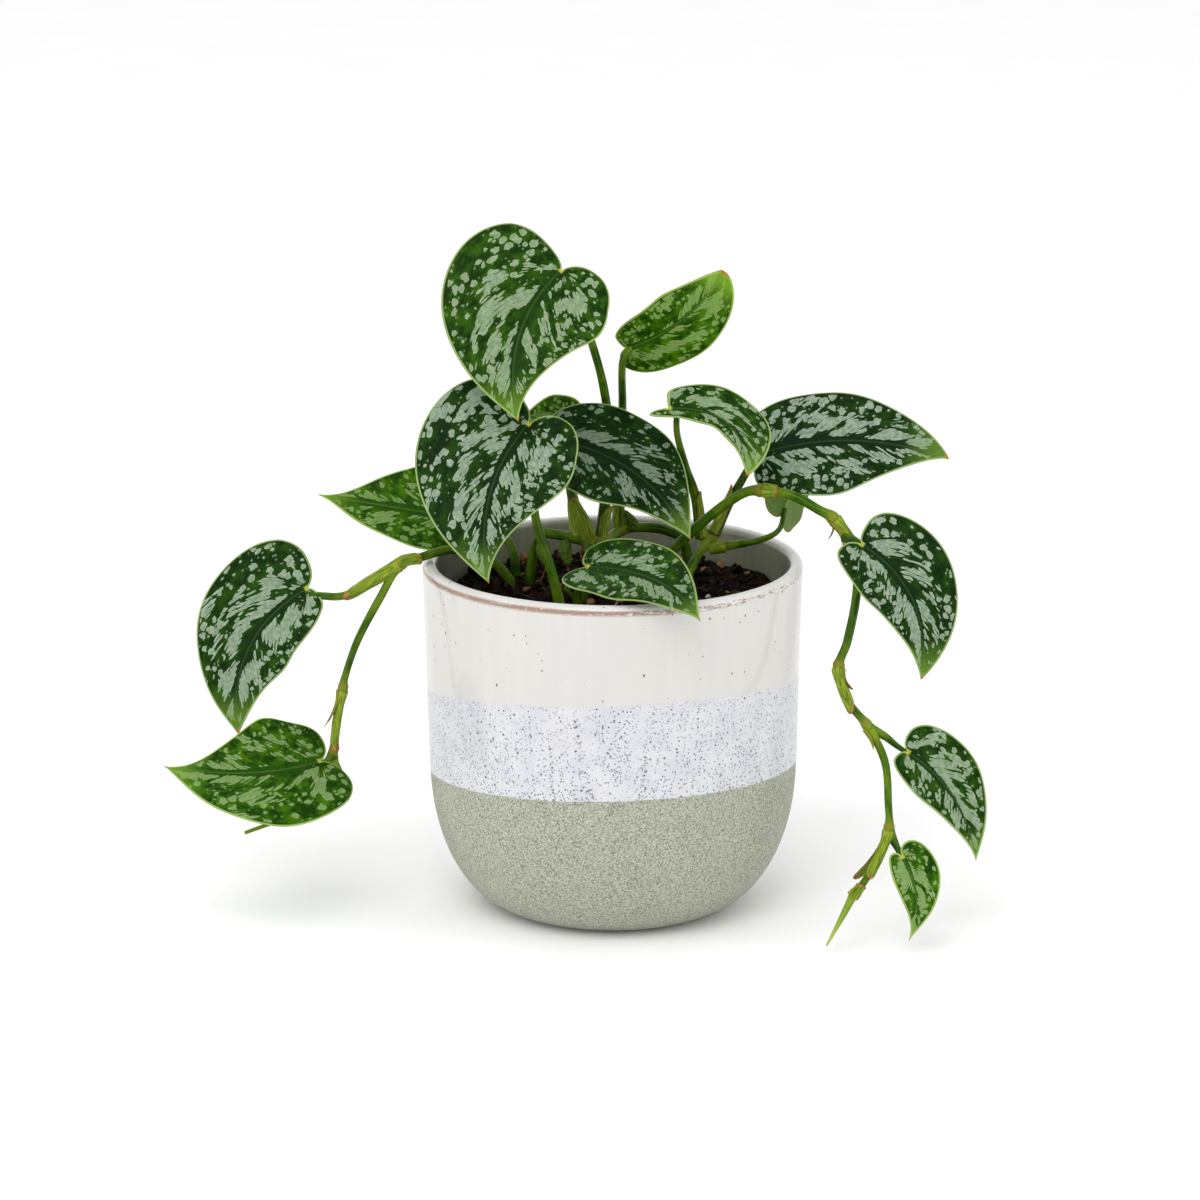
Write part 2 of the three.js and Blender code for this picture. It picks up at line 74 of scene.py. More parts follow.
# %% Mesh helpers
def grid_quads(rows, columns, close_columns=False):
    """Corner numbers of the quads between neighbours in a grid of points that is stored row by row.
    Closing the columns joins the last one to the first."""
    row = np.arange(rows - 1)[:, None]
    column = np.arange(columns if close_columns else columns - 1)[None, :]
    next_column = (column + 1) % columns
    corners = [row * columns + column, row * columns + next_column,
               (row + 1) * columns + next_column, (row + 1) * columns + column]
    return np.stack(np.broadcast_arrays(*corners), axis=-1).reshape(-1, 4)


def closed_rings(rings, sectors):
    """Faces of a stack of rings that a pole closes at each end. Both poles come after the rings."""
    here = np.arange(sectors)
    following = (here + 1) % sectors
    pole = rings * sectors
    last_ring = pole - sectors
    return [
        grid_quads(rings, sectors, close_columns=True),
        np.column_stack([np.full(sectors, pole), following, here]),
        np.column_stack([np.full(sectors, pole + 1), last_ring + here, last_ring + following]),
    ]


def turned(profile, sectors):
    """Points of a profile, given as radius and height, that is carried round the upright axis."""
    turn = np.linspace(0, 2 * math.pi, sectors, endpoint=False)
    return np.column_stack([np.outer(profile[:, 0], np.cos(turn)).ravel(),
                            np.outer(profile[:, 0], np.sin(turn)).ravel(),
                            np.repeat(profile[:, 1], sectors)])


def make_piece(name, points, faces, finishes, layers=None, finish_of_face=None, flat=False):
    """A mesh object from points in millimetres and lists of faces. layers holds named values for
    each point, and finish_of_face tells which of the finishes each face has."""
    mesh = bpy.data.meshes.new(name)
    corner_lists = [corners for block in faces for corners in np.asarray(block).tolist()]
    mesh.from_pydata((np.asarray(points) * mm).tolist(), [], corner_lists)
    mesh.polygons.foreach_set("use_smooth", np.full(len(mesh.polygons), not flat))
    for layer, values in (layers or {}).items():
        values = np.asarray(values, np.float32)
        vector = values.ndim == 2
        made = mesh.attributes.new(layer, "FLOAT_VECTOR" if vector else "FLOAT", "POINT")
        made.data.foreach_set("vector" if vector else "value", values.ravel())
    for finish in finishes:
        mesh.materials.append(finish)
    if finish_of_face is not None:
        mesh.polygons.foreach_set("material_index", finish_of_face)
    mesh.update()
    piece = bpy.data.objects.new(name, mesh)
    bpy.context.collection.objects.link(piece)
    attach(piece, "root")
    return piece


def through(rows, at):
    """A smooth curve through rows of numbers, at the places `at`, which count rows from 0. Each
    span is a cubic, and its slope at a row is half the step between that row's two neighbours."""
    rows = np.asarray(rows, float)
    padded = np.vstack([2 * rows[0] - rows[1], rows, 2 * rows[-1] - rows[-2]])
    at = np.clip(np.asarray(at, float), 0, len(rows) - 1)
    span = np.minimum(at.astype(int), len(rows) - 2)
    u = (at - span)[:, None]
    before, start, end, after = (padded[span + k] for k in range(4))
    rise, fall = (end - before) / 2, (after - start) / 2
    cubic = 2 * start - 2 * end + rise + fall
    square = 3 * end - 3 * start - 2 * rise - fall
    return ((cubic * u + square) * u + rise) * u + start


def smooth_step(value, low, high):
    """0 below low, 1 above high and an even S between them."""
    share = np.clip((value - low) / (high - low), 0, 1)
    return share * share * (3 - 2 * share)


print("a 3 by 4 grid has", len(grid_quads(3, 4)), "quads")

# %% [markdown]
# ## Finishes from nodes
# A finish is a small network of nodes. Wiring it by hand takes four lines for each node, so this
# class adds a node, plugs in what it is given and hands back the output, in one call.

# %% Node helper
def tint(red, green, blue):
    """A colour given as it looks on a screen, from 0 to 255, as the linear colour nodes expect."""
    screen = np.array([red, green, blue]) / 255
    linear = np.where(screen <= 0.04045, screen / 12.92, ((screen + 0.055) / 1.055) ** 2.4)
    return (*linear.tolist(), 1.0)


def arithmetic(operation):
    """A method that adds one step of arithmetic with one or two values."""
    def step(self, a, b=0.0):
        return self.add("ShaderNodeMath", {0: a, 1: b}, operation=operation)
    return step


class Finish:
    """A material under construction. Each method adds a node or a few and gives back the output."""

    def __init__(self, name):
        self.material = bpy.data.materials.new(name)
        self.material.use_nodes = True
        self.tree = self.material.node_tree
        self.tree.nodes.clear()

    def add(self, kind, inputs, output=0, **settings):
        """A node of a kind. Its inputs are given as plain values or as outputs of other nodes."""
        node = self.tree.nodes.new(kind)
        for key, value in settings.items():
            setattr(node, key, value)
        for key, value in inputs.items():
            if isinstance(value, bpy.types.NodeSocket):
                self.tree.links.new(value, node.inputs[key])
            else:
                node.inputs[key].default_value = value
        return node.outputs[output]

    def layer(self, name, output="Fac"):
        return self.add("ShaderNodeAttribute", {}, output, attribute_name=name)

    def place(self):
        """Where a point is on the object, in millimetres."""
        spot = self.add("ShaderNodeTexCoord", {}, "Object")
        return self.stretch(spot, (1 / mm,) * 3)

    def stretch(self, vector, factors):
        return self.add("ShaderNodeVectorMath", {0: vector, 1: factors}, operation="MULTIPLY")

    def shift(self, vector, other):
        return self.add("ShaderNodeVectorMath", {0: vector, 1: other}, operation="ADD")

    def length_of(self, vector):
        return self.add("ShaderNodeVectorMath", {0: vector}, "Value", operation="LENGTH")

    def along(self, vector, direction):
        """How far a point is in a direction."""
        return self.add("ShaderNodeVectorMath", {0: vector, 1: direction}, "Value",
                        operation="DOT_PRODUCT")

    def part(self, vector, axis):
        return self.add("ShaderNodeSeparateXYZ", {0: vector}, "XYZ".index(axis))

    sum = arithmetic("ADD")
    less = arithmetic("SUBTRACT")
    times = arithmetic("MULTIPLY")
    over = arithmetic("DIVIDE")
    larger = arithmetic("MAXIMUM")
    wave = arithmetic("SINE")
    floor_of = arithmetic("FLOOR")
    size_of = arithmetic("ABSOLUTE")

    def spot(self, x, y, z):
        return self.add("ShaderNodeCombineXYZ", {0: x, 1: y, 2: z})

    def luck(self, vector):
        """A chance number from 0 to 1 that belongs to this very place."""
        return self.add("ShaderNodeTexWhiteNoise", {"Vector": vector}, "Value",
                        noise_dimensions="3D")

    def ease(self, value, low, high, start=0.0, end=1.0):
        """start below low, end above high and an even S between them. low may be the larger."""
        if low > high:
            low, high, start, end = high, low, end, start
        inputs = {"Value": value, "From Min": low, "From Max": high, "To Min": start, "To Max": end}
        return self.add("ShaderNodeMapRange", inputs, interpolation_type="SMOOTHSTEP")

    def cloud(self, vector, scale, detail=2.0, roughness=0.5):
        inputs = {"Vector": vector, "Scale": scale, "Detail": detail, "Roughness": roughness}
        return self.add("ShaderNodeTexNoise", inputs, "Fac")

    def sway(self, vector, scale, amount):
        """The place itself, pushed about by a cloud."""
        cloud = self.add("ShaderNodeTexNoise", {"Vector": vector, "Scale": scale}, "Color")
        centred = self.shift(cloud, (-0.5,) * 3)
        return self.shift(vector, self.stretch(centred, (amount,) * 3))

    def cells(self, vector, output, looseness=1.0, sharpness=2.0, space="2D"):
        """What the nearest cell of a loose grid gives: the distance to its middle or its colour."""
        inputs = {"Vector": vector, "Scale": 1.0, "Randomness": looseness, "Exponent": sharpness}
        return self.add("ShaderNodeTexVoronoi", inputs, output, voronoi_dimensions=space,
                        distance="MINKOWSKI")

    def blend(self, share, a, b):
        """Colour a where the share is 0 and b where it is 1."""
        return self.add("ShaderNodeMix", {0: share, 6: a, 7: b}, 2, data_type="RGBA")

    def wash(self, colour, mask, amount, second):
        """A colour with a second one laid over it where the mask is, by no more than the amount."""
        return self.blend(self.times(mask, amount), colour, second)

    def relief(self, height, depth):
        """Tilts the light as if the surface rose by height times depth, in millimetres."""
        inputs = {"Height": height, "Distance": depth * mm, "Strength": 1.0}
        return self.add("ShaderNodeBump", inputs)

    def done(self, **sockets):
        """The finished material, from what is plugged into the shader's sockets."""
        shader = self.add("ShaderNodeBsdfPrincipled",
                          {key.replace("_", " "): value for key, value in sockets.items()})
        surface = self.tree.nodes.new("ShaderNodeOutputMaterial").inputs["Surface"]
        self.tree.links.new(shader, surface)
        return self.material


print("mid green is", tuple(round(v, 3) for v in tint(60, 110, 45)))

# %% [markdown]
# ## Light and floor
# The plant stands on a pale sheet that curves up behind it. A wide lamp in front, high up and a
# little to the left, gives the soft shadows. A tall narrow lamp at each side draws a faint stripe
# down the glaze, and a pale sky fills the rest.

# %% Floor and lamps
floor_finish = Finish("pale_paper")
floor_grain = floor_finish.cloud(floor_finish.place(), 0.02)
floor_tint = floor_finish.blend(floor_grain, tint(250, 250, 250), tint(254, 254, 254))
floor_finish.done(Base_Color=floor_tint, Roughness=0.9, Specular_IOR_Level=0.1)

floor_half = 6000
sweep_start = 2500
sweep_radius = 1500
sweep_turn = np.linspace(0, math.pi / 2, 25)
floor_depth = np.concatenate([[-floor_half], sweep_start + sweep_radius * np.sin(sweep_turn)])
floor_rise = np.concatenate([[0], sweep_radius * (1 - np.cos(sweep_turn))])
floor_across = np.linspace(-floor_half, floor_half, 9)
floor_grid = np.broadcast_arrays(floor_across, floor_depth[:, None], floor_rise[:, None])
floor_points = np.stack(floor_grid, axis=-1).reshape(-1, 3)
floor_mesh = bpy.data.meshes.new("paper_sweep")
floor_mesh.from_pydata((floor_points * mm).tolist(), [],
                       grid_quads(len(floor_depth), len(floor_across)).tolist())
floor_mesh.polygons.foreach_set("use_smooth", np.full(len(floor_mesh.polygons), True))
floor_mesh.materials.append(floor_finish.material)
floor = bpy.data.objects.new("paper_sweep", floor_mesh)
bpy.context.collection.objects.link(floor)
lamp_aim = np.array([0, 0, 0.11])


def lamp(name, place, width, height, power):
    """A rectangular soft lamp at a place in metres, turned to face its aim on the plant."""
    data = bpy.data.lights.new(name, "AREA")
    data.shape = "RECTANGLE"
    data.size = width
    data.size_y = height
    data.energy = power
    lit = bpy.data.objects.new(name, data)
    lit.location = place
    towards = lamp_aim - place
    flat_run = math.hypot(towards[0], towards[1])
    lit.rotation_euler = (math.atan2(flat_run, -towards[2]), 0,
                          math.atan2(towards[1], towards[0]) - math.pi / 2)
    bpy.context.collection.objects.link(lit)


lamp("wide_lamp", place=(-0.45, -1.5, 1.9), width=1.4, height=1.4, power=17.8)
for side_name, lamp_x, lamp_y in (("left", -1.5, -0.55), ("right", 1.5, -0.45)):
    lamp(f"{side_name}_stripe_lamp", place=(lamp_x, lamp_y, 0.55), width=0.3, height=1.5, power=4)
sky = bpy.data.worlds.new("pale_sky")
sky.use_nodes = True
sky.node_tree.nodes["Background"].inputs["Color"].default_value = (1, 1, 1, 1)
sky.node_tree.nodes["Background"].inputs["Strength"].default_value = 0.95
bpy.context.scene.world = sky
bpy.context.scene.view_settings.view_transform = "Standard"

# %% [markdown]
# ## The leaves as numbers
# A leaf of this plant is a lopsided heart. It hangs between the notch, where the stalk joins, and its
# tip, and its upper face looks some degrees round from the front and some degrees up. The midrib bows
# to the left and up, and both halves fold up a little. A half has a width, a length that its lobe
# reaches back, a widest place, as a share of the way to the tip, and a slimness of its run to the
# tip. These are the rows of the solid leaves, in millimetres and degrees. Two numbers are added: how
# fresh the green is and how much silver there is, both from 0 to 1.

# %% Leaf rows
leaf_rows = {
    "high_left": dict(
        notch=(-16, -4, 205), tip=(-29, -31, 163), facing=(0, 20), bow=(-7, 2), fold=(8, 10),
        left=(23, 6, 0.2, 1.4), right=(29, 3, 0.25, 1.1), fresh=0.3, silver=0.7),
    "high_right": dict(
        notch=(4, 8, 178), tip=(34, -4, 205), facing=(30, 14), bow=(-3, 3), fold=(8, 4),
        left=(11, 1, 0.5, 0.8), right=(13, 4, 0.45, 0.5), fresh=0.85, silver=0.8),
    "mid_left": dict(
        notch=(-26, -20, 160), tip=(-38, -43, 115), facing=(-8, 22), bow=(-6, 3), fold=(8, 10),
        left=(22, 7, 0.22, 1.5), right=(28, 5, 0.22, 1.1), fresh=0.05, silver=0.7),
    "behind": dict(
        notch=(-11, 20, 151), tip=(-33, 15, 150), facing=(0, 25), bow=(0, 1), fold=(8, 8),
        left=(10, 2, 0.25, 1.2), right=(10, 2, 0.25, 1.2), fresh=0.85, silver=0.7),
    "centre": dict(
        notch=(-16, 0, 150), tip=(24, -24, 124), facing=(15, 45), bow=(5, 3), fold=(8, 8),
        left=(19, 6, 0.3, 1.2), right=(19, 7, 0.28, 1.3), fresh=0.0, silver=0.5),
    "curled": dict(
        notch=(17, -12, 163), tip=(41, -26, 145), facing=(5, 60), bow=(9, 2), fold=(8, 8),
        left=(12, 0, 0.55, 0.8), right=(5, 4, 0.4, 1), fresh=0.3, silver=0.75),
    "far_right": dict(
        notch=(46, 4, 145), tip=(105, -4, 145), facing=(0, 38), bow=(4, 3), fold=(6, 6),
        left=(17, 3, 0.3, 0.8), right=(19, 3, 0.35, 1.4), fresh=0.0, silver=0.75),
    "young": dict(
        notch=(53, 2, 126), tip=(64, 12, 140), facing=(-150, 10), bow=(0, 2), fold=(16, 16),
        left=(11, 3, 0.3, 1), right=(11, 3, 0.3, 1), fresh=0.8, silver=0.1),
    "drooping_right": dict(
        notch=(77, -21, 122), tip=(95, -38, 83), facing=(8, 24), bow=(7, 3), fold=(12, 8),
        left=(17, 2, 0.25, 0.9), right=(13, 4, 0.28, 1.1), fresh=0.05, silver=0.7),
    "vine_third": dict(
        notch=(91, -42, 61), tip=(112, -53, 29), facing=(10, 18), bow=(4, 3), fold=(8, 8),
        left=(13, 3, 0.22, 1.1), right=(9, 2, 0.25, 1.3), fresh=0.2, silver=0.8),
    "vine_fourth": dict(
        notch=(89, -54, 31), tip=(91, -62, 6), facing=(10, 15), bow=(3, 2), fold=(8, 8),
        left=(9, 3, 0.2, 1.4), right=(6, 2, 0.25, 1.6), fresh=0.7, silver=0.75),
    "front": dict(
        notch=(-8, -34, 118), tip=(26, -76, 112), facing=(4, 53), bow=(6, 1), fold=(18, 8),
        left=(13, 3, 0.25, 1.3), right=(15, 5, 0.3, 1.2), fresh=0.25, silver=0.62),
    "left_green": dict(
        notch=(-43, 18, 120), tip=(-94, 20, 128), facing=(0, 45), bow=(2, 3), fold=(8, 8),
        left=(14, 5, 0.3, 1.2), right=(18, 7, 0.25, 1.7), fresh=0.75, silver=0.6),
    "drooping_left": dict(
        notch=(-96, -6, 104), tip=(-118, -16, 59), facing=(-20, 25), bow=(-8, 3), fold=(8, 8),
        left=(15, 2, 0.42, 1), right=(23, 4, 0.24, 1.1), fresh=0.1, silver=0.75),
    "lowest_left": dict(
        notch=(-92, -22, 52), tip=(-140, -34, 54), facing=(-10, 46), bow=(6, 4), fold=(8, 8),
        left=(21, 5, 0.3, 1.1), right=(19, 5, 0.26, 1.7), fresh=0.65, silver=0.62),
}
print("leaves:", len(leaf_rows))

# %% [markdown]
# ## The shape of a leaf
# The side of a half runs to the tip as a sine raised to a power, the back of the lobe is a quarter of
# an ellipse, and the edge of the cleft between the lobes is a parabola. Rays run from the notch to
# this outline and rings cross them. That flat grid is then bent: it's laid square along the bowed
# midrib, its halves fold up, and its rim droops and waves a little.

# %% Leaf surface
blade_droop = 0.2
fold_rounding = 0.03
lobe_corner = 0.42
cleft_opening = 0.07
rays_per_half = 72
blade_rings = 40
outline_samples = 120
vein_slant = 0.8
vein_slant_growth = 1.6
vein_bend = 0.7
lobe_vein_spread = 0.35
vein_pitch = 0.125
furrow_depth = 0.1
furrow_sharpness = 2.4
rim_waves = 2.4


def half_outline(length, half):
    """One half of the heart, from the tip round the lobe to the notch: x towards the tip and y away
    from the midrib. It is worked out finely and then cut into equal steps."""
    width, lobe, belly, slim = half
    widest = belly * length
    corner = lobe_corner * width
    share = np.linspace(0, 1, outline_samples)
    turn = share * math.pi / 2
    side = np.column_stack([length - (length - widest) * share, width * np.sin(turn) ** slim])
    back = np.column_stack([widest - (widest + lobe) * np.sin(turn),
                            corner + (width - corner) * np.cos(turn)])
    start = (1 - share) ** 2
    pull = 2 * share * (1 - share)
    cleft = np.column_stack([-lobe * (start + pull),
                             corner * start + cleft_opening * width * pull])
    fine = np.vstack([side, back[1:], cleft[1:]])
    run = np.concatenate([[0], np.cumsum(np.linalg.norm(np.diff(fine, axis=0), axis=1))])
    even = np.linspace(0, run[-1], rays_per_half + 1)
    return np.column_stack([np.interp(even, run, fine[:, k]) for k in range(2)])


def leaf_axes(row):
    """The notch, the length and three directions at right angles: to the tip, to the left half and
    out of the upper face."""
    notch = np.array(row["notch"], float)
    along = np.array(row["tip"]) - notch
    length = np.linalg.norm(along)
    along = along / length
    turn, lift = np.radians(row["facing"])
    face = np.array([np.sin(turn) * np.cos(lift), -np.cos(turn) * np.cos(lift), np.sin(lift)])
    face = face - along * (face @ along)
    face = face / np.linalg.norm(face)
    return notch, length, along, np.cross(face, along), face


def vein_place(x, y, length):
    """Where a point lies among the side veins, in millimetres: how far out along its vein, and where
    that vein leaves the midrib. A vein leaves at half a right angle and bends towards the tip. In
    the lobes the veins all start at the notch, so there the second number is an angle."""
    x, y = x / length, y / length
    slant = vein_slant + vein_slant_growth * np.clip(x, 0, 1) ** 2
    start = x - slant * y - vein_bend * y ** 2
    lobe_angle = np.arctan2(-start, y + 1e-3)
    out = np.where(start > 0, np.hypot(x - start, y), np.hypot(x, y))
    return out * length, np.where(start > 0, start, -lobe_vein_spread * lobe_angle) * length


def bend_blade(row, x, y, side):
    """A point of the middle surface. side is 1 on the left half and -1 on the right half. The
    midrib is a parabola from notch to tip that runs on straight behind the notch, and the blade is
    laid square to it. Going out from the midrib the blade rises with the fold, rounded near the
    rib, and sinks with the square of the distance."""
    notch, length, along, across, face = leaf_axes(row)
    bow_left, bow_up = row["bow"]
    fold = np.radians(np.where(side > 0, row["fold"][0], row["fold"][1]))
    ahead = np.maximum(x / length, 0)
    rise = 4 * (x / length - ahead ** 2)
    heading = np.arctan(bow_left * 4 * (1 - 2 * ahead) / length)
    rounding = fold_rounding * length
    lift = np.sqrt(y ** 2 + rounding ** 2) - rounding
    out = side * y * np.cos(fold)
    forwards = x - out * np.sin(heading)
    sideways = bow_left * rise + out * np.cos(heading)
    upwards = bow_up * rise + np.sin(fold) * lift - blade_droop * y ** 2 / length
    return (notch + forwards[:, None] * along + sideways[:, None] * across
            + upwards[:, None] * face)


def blade_ripple(row, x, y, side, rim, size, phase):
    """How far a point stands above the bent blade: furrows over the side veins, which fade towards
    the rim, and a slow wave of the rim. rim runs from 0 at the midrib to 1 at the edge."""
    length = leaf_axes(row)[1]
    vein_start = vein_place(x, y, length)[1]
    vein_turn = math.pi * vein_start / (vein_pitch * length)
    furrow = np.exp(-(np.sin(vein_turn) * furrow_sharpness) ** 2)
    shown = smooth_step(y / length, 0.01, 0.05) * (1 - smooth_step(rim, 0.55, 0.95))
    wave = np.sin(2 * math.pi * (rim_waves * x / length + phase) + side)
    return size * rim ** 3 * wave - furrow_depth * furrow * shown


print("a half outline has", len(half_outline(50, leaf_rows["front"]["left"])), "points")

# %% [markdown]
# ## The skin of a leaf
# Satin pothos has silver splashes where air lies under the skin. Fine veins cut the blade into
# strips that run from the midrib to the rim. In the inner half of the blade a slow cloud tells how
# far each strip is silver, and every strip is slid by its own amount, so that a splash looks like a
# bundle of bars with comb-like ends. Further out the silver breaks up into small roundish dots,
# and where they are large they run together.

# %% Leaf finishes
usual_length = 55
strip_width = 1.9
strip_slide = 3.0
bar_length = 5.5
bar_spread = 7.5
bar_end_rounding = 0.09
bar_threshold = 0.545
bar_threshold_drop = 0.14
gap_spacing = 11
dot_spacing = 2.6
dot_reach = 0.47
dot_threshold = 0.84
dot_threshold_drop = 0.3
fleck_spacing = 1.5
side_vein_spacing = 6.6


class LeafSkin(Finish):
    """A finish with the numbers that a leaf's mesh holds at each of its points. freshness runs from
    0 for an old dark leaf to 1 for a new yellow-green one."""

    def __init__(self, name, freshness):
        super().__init__(name)
        self.freshness = freshness
        self.blade = self.layer("blade", "Vector")
        self.veins = self.layer("veins", "Vector")
        self.to_rim = self.layer("to_rim")
        self.to_midrib = self.layer("to_midrib")

    def by_age(self, old, new):
        """A colour between an old leaf's and a new one's."""
        return self.blend(self.freshness, tint(*old), tint(*new))

    def off_lines(self, veins, spacing):
        """0 on lines along the veins that are one spacing apart, and 1 midway between them."""
        return self.size_of(self.wave(self.times(self.part(veins, "Y"), math.pi / spacing)))


def strips(f, veins, width, seed):
    """The strips between the finest veins. Gives back how far out a point lies on its strip, the
    strip's number, and how far off the strip's middle the point is, from 0 to 1."""
    counted = f.over(f.part(veins, "Y"), width)
    number = f.floor_of(counted)
    off_middle = f.times(f.size_of(f.less(f.less(counted, number), 0.5)), 2.0)
    slide = f.times(f.luck(f.spot(number, seed, 0.5)), strip_slide)
    return f.sum(f.part(veins, "X"), slide), number, off_middle


def silver_bars(f, veins, width, threshold, seed):
    """Above 0 where a strip is silver, which is where a cloud is above the threshold. The cloud
    changes slowly along a strip and from one strip to the next, and the rounding of the bars' ends
    grows with the square of the way off the middle."""
    out, number, off_middle = strips(f, veins, width, seed)
    place = f.spot(f.over(out, bar_length), f.times(number, width / bar_spread), seed * 3.7)
    ends = f.times(f.times(off_middle, off_middle), bar_end_rounding)
    return f.less(f.less(f.cloud(place, 1.0, 1.0), threshold), ends), off_middle


def silver_dots(f, spacing, threshold, seed):
    """Above 0 inside a dot. A dot may sit in each cell of a loose grid, and how far it reaches comes
    from its own chance number and a slow cloud."""
    moved = f.shift(f.sway(f.blade, 0.55, 1.8), (17.0 * seed, 0, 0))
    grid = f.stretch(moved, (1 / spacing, 1 / spacing, 1))
    near = f.cells(grid, "Distance", 0.8, 2.6)
    chance = f.part(f.cells(grid, "Color", 0.8, 2.6), "X")
    slow = f.cloud(f.stretch(moved, (1, 1, 0)), 0.16, 1.0)
    chance = f.sum(f.times(chance, 0.5), slow)
    return f.less(f.ease(chance, threshold, threshold + 0.34, 0, dot_reach), near)


def silver_flecks(f, across):
    """A few tiny flecks away from the midrib."""
    grid = f.stretch(f.blade, (1 / fleck_spacing, 1 / fleck_spacing, 1))
    near = f.ease(f.cells(grid, "Distance"), 0.26, 0.16)
    chosen = f.ease(f.part(f.cells(grid, "Color"), "X"), 0.86, 0.88)
    return f.times(f.times(near, chosen), f.ease(across, 0.1, 0.3, 0, 0.6))


def leaf_silver(f, across, share, rib_reach, grain, silver, seed):
    """Where the bars and the dots are, both above 0, and how far off its strip's middle a point is.
    The bars keep off the midrib, grow rarer outwards and leave gaps, and the dots lie outside."""
    veins = f.sway(f.sway(f.veins, 0.16, 3.0), 0.8, 0.8)
    from_rib = f.sum(f.to_midrib, f.times(share, 1.5))
    plain_rib = f.ease(from_rib, rib_reach, rib_reach * 0.4, 0, 0.4)
    plain_outside = f.ease(across, 0.4, 0.8, 0, 0.2)
    gaps = f.ease(f.off_lines(veins, gap_spacing), 0.35, 0.0, 0, 0.14)
    threshold = f.sum(gaps, bar_threshold - bar_threshold_drop * silver)
    threshold = f.sum(f.sum(plain_rib, plain_outside), threshold)
    bars, off_middle = silver_bars(f, veins, strip_width * grain, threshold, seed)
    dot_zone = f.times(f.ease(across, 0.32, 0.5), f.ease(f.to_rim, 0.6, 1.2))
    threshold = dot_threshold - dot_threshold_drop * silver
    dots = silver_dots(f, dot_spacing * grain, threshold, seed)
    return bars, f.less(dots, f.ease(dot_zone, 0, 1, 0.5, 0)), off_middle


def leaf_green(f, halo, side_lines, rib_reach):
    """The green between the splashes: mottled, lighter round them, and marked by the veins."""
    mottle = f.sum(f.times(f.ease(f.cloud(f.blade, 0.22, 3), 0.42, 0.66), 0.55), f.times(halo, 0.3))
    deep = f.blend(mottle, tint(10, 33, 5), tint(29, 64, 8))
    fresh = f.blend(mottle, tint(24, 62, 0), tint(82, 134, 3))
    rib_zone = f.times(f.ease(f.to_midrib, rib_reach * 1.5, rib_reach * 0.4),
                       f.ease(f.part(f.blade, "X"), -4, 6))
    green = f.blend(f.freshness, deep, fresh)
    green = f.wash(green, rib_zone, 0.8, f.by_age((12, 33, 13), (38, 80, 3)))
    return f.wash(green, side_lines, 0.5, f.by_age((16, 34, 16), (34, 72, 10)))


def leaf_finish(name, length, freshness, silver, seed):
    """Upper skin of one leaf. silver is how much of it the splashes cover."""
    f = LeafSkin(f"satin_leaf_{name}", freshness)
    share = f.part(f.layer("share", "Vector"), "X")
    across = f.over(f.to_midrib, f.sum(f.to_midrib, f.to_rim))
    grain = (length / usual_length) ** 0.7
    rib_reach = (0.1 - 0.075 * silver) * length
    bars, dots, off_middle = leaf_silver(f, across, share, rib_reach, grain, silver, seed)
    in_bars = f.ease(bars, 0.0, 0.014)
    in_dots = f.ease(dots, 0.0, 0.05)
    splashes = f.larger(f.larger(in_bars, in_dots), silver_flecks(f, across))

    halo = f.larger(f.ease(bars, -0.16, -0.01), f.ease(dots, -0.4, 0.0))
    side_lines = f.times(f.ease(f.off_lines(f.veins, side_vein_spacing), 0.16, 0.0),
                         f.ease(across, 0.9, 0.3))
    green = leaf_green(f, halo, side_lines, rib_reach)

    silvery = f.blend(f.ease(f.cloud(f.blade, 0.7, 3), 0.35, 0.65), tint(116, 134, 114),
                      tint(144, 159, 140))
    silvery = f.blend(freshness, silvery, tint(112, 144, 58))
    seams = f.times(f.ease(off_middle, 0.85, 1.0, 0, 0.4), in_bars)
    silvery = f.blend(seams, silvery, green)
    edges = f.larger(f.times(in_bars, f.ease(bars, 0.05, 0.02)),
                     f.times(in_dots, f.ease(dots, 0.14, 0.06)))
    silvery = f.wash(silvery, edges, 0.45, f.by_age((166, 182, 162), (138, 168, 92)))
    colour = f.wash(green, splashes, min(0.95, 1.5 * silver - 0.1), silvery)

    rib_line = f.ease(f.to_midrib, 0.45, 0.12)
    colour = f.wash(colour, rib_line, 0.25, f.by_age((66, 98, 54), (112, 156, 50)))
    tip = f.ease(share, 0.72, 1.0)
    colour = f.wash(colour, tip, 0.7, f.by_age((104, 140, 48), (124, 166, 44)))
    rim = f.ease(f.to_rim, 0.75, 0.35)
    colour = f.wash(colour, rim, 0.85, f.by_age((150, 172, 112), (156, 184, 82)))
    point = f.ease(share, 0.965, 0.992)
    colour = f.blend(point, colour, tint(168, 118, 34))
    notch = f.ease(f.larger(f.to_midrib, f.size_of(f.part(f.blade, "X"))), 1.1, 0.4)
    colour = f.blend(notch, colour, tint(172, 178, 70))

    pores = f.cloud(f.blade, 3.2, 2)
    rough = f.sum(f.ease(pores, 0.3, 0.7, 0.42, 0.52), f.times(splashes, 0.1))
    height = f.sum(f.times(pores, 0.35), f.times(splashes, 0.25))
    height = f.less(height, f.times(side_lines, 0.6))
    return f.done(Base_Color=colour, Roughness=rough, Normal=f.relief(height, 0.09),
                  Specular_IOR_Level=0.05)


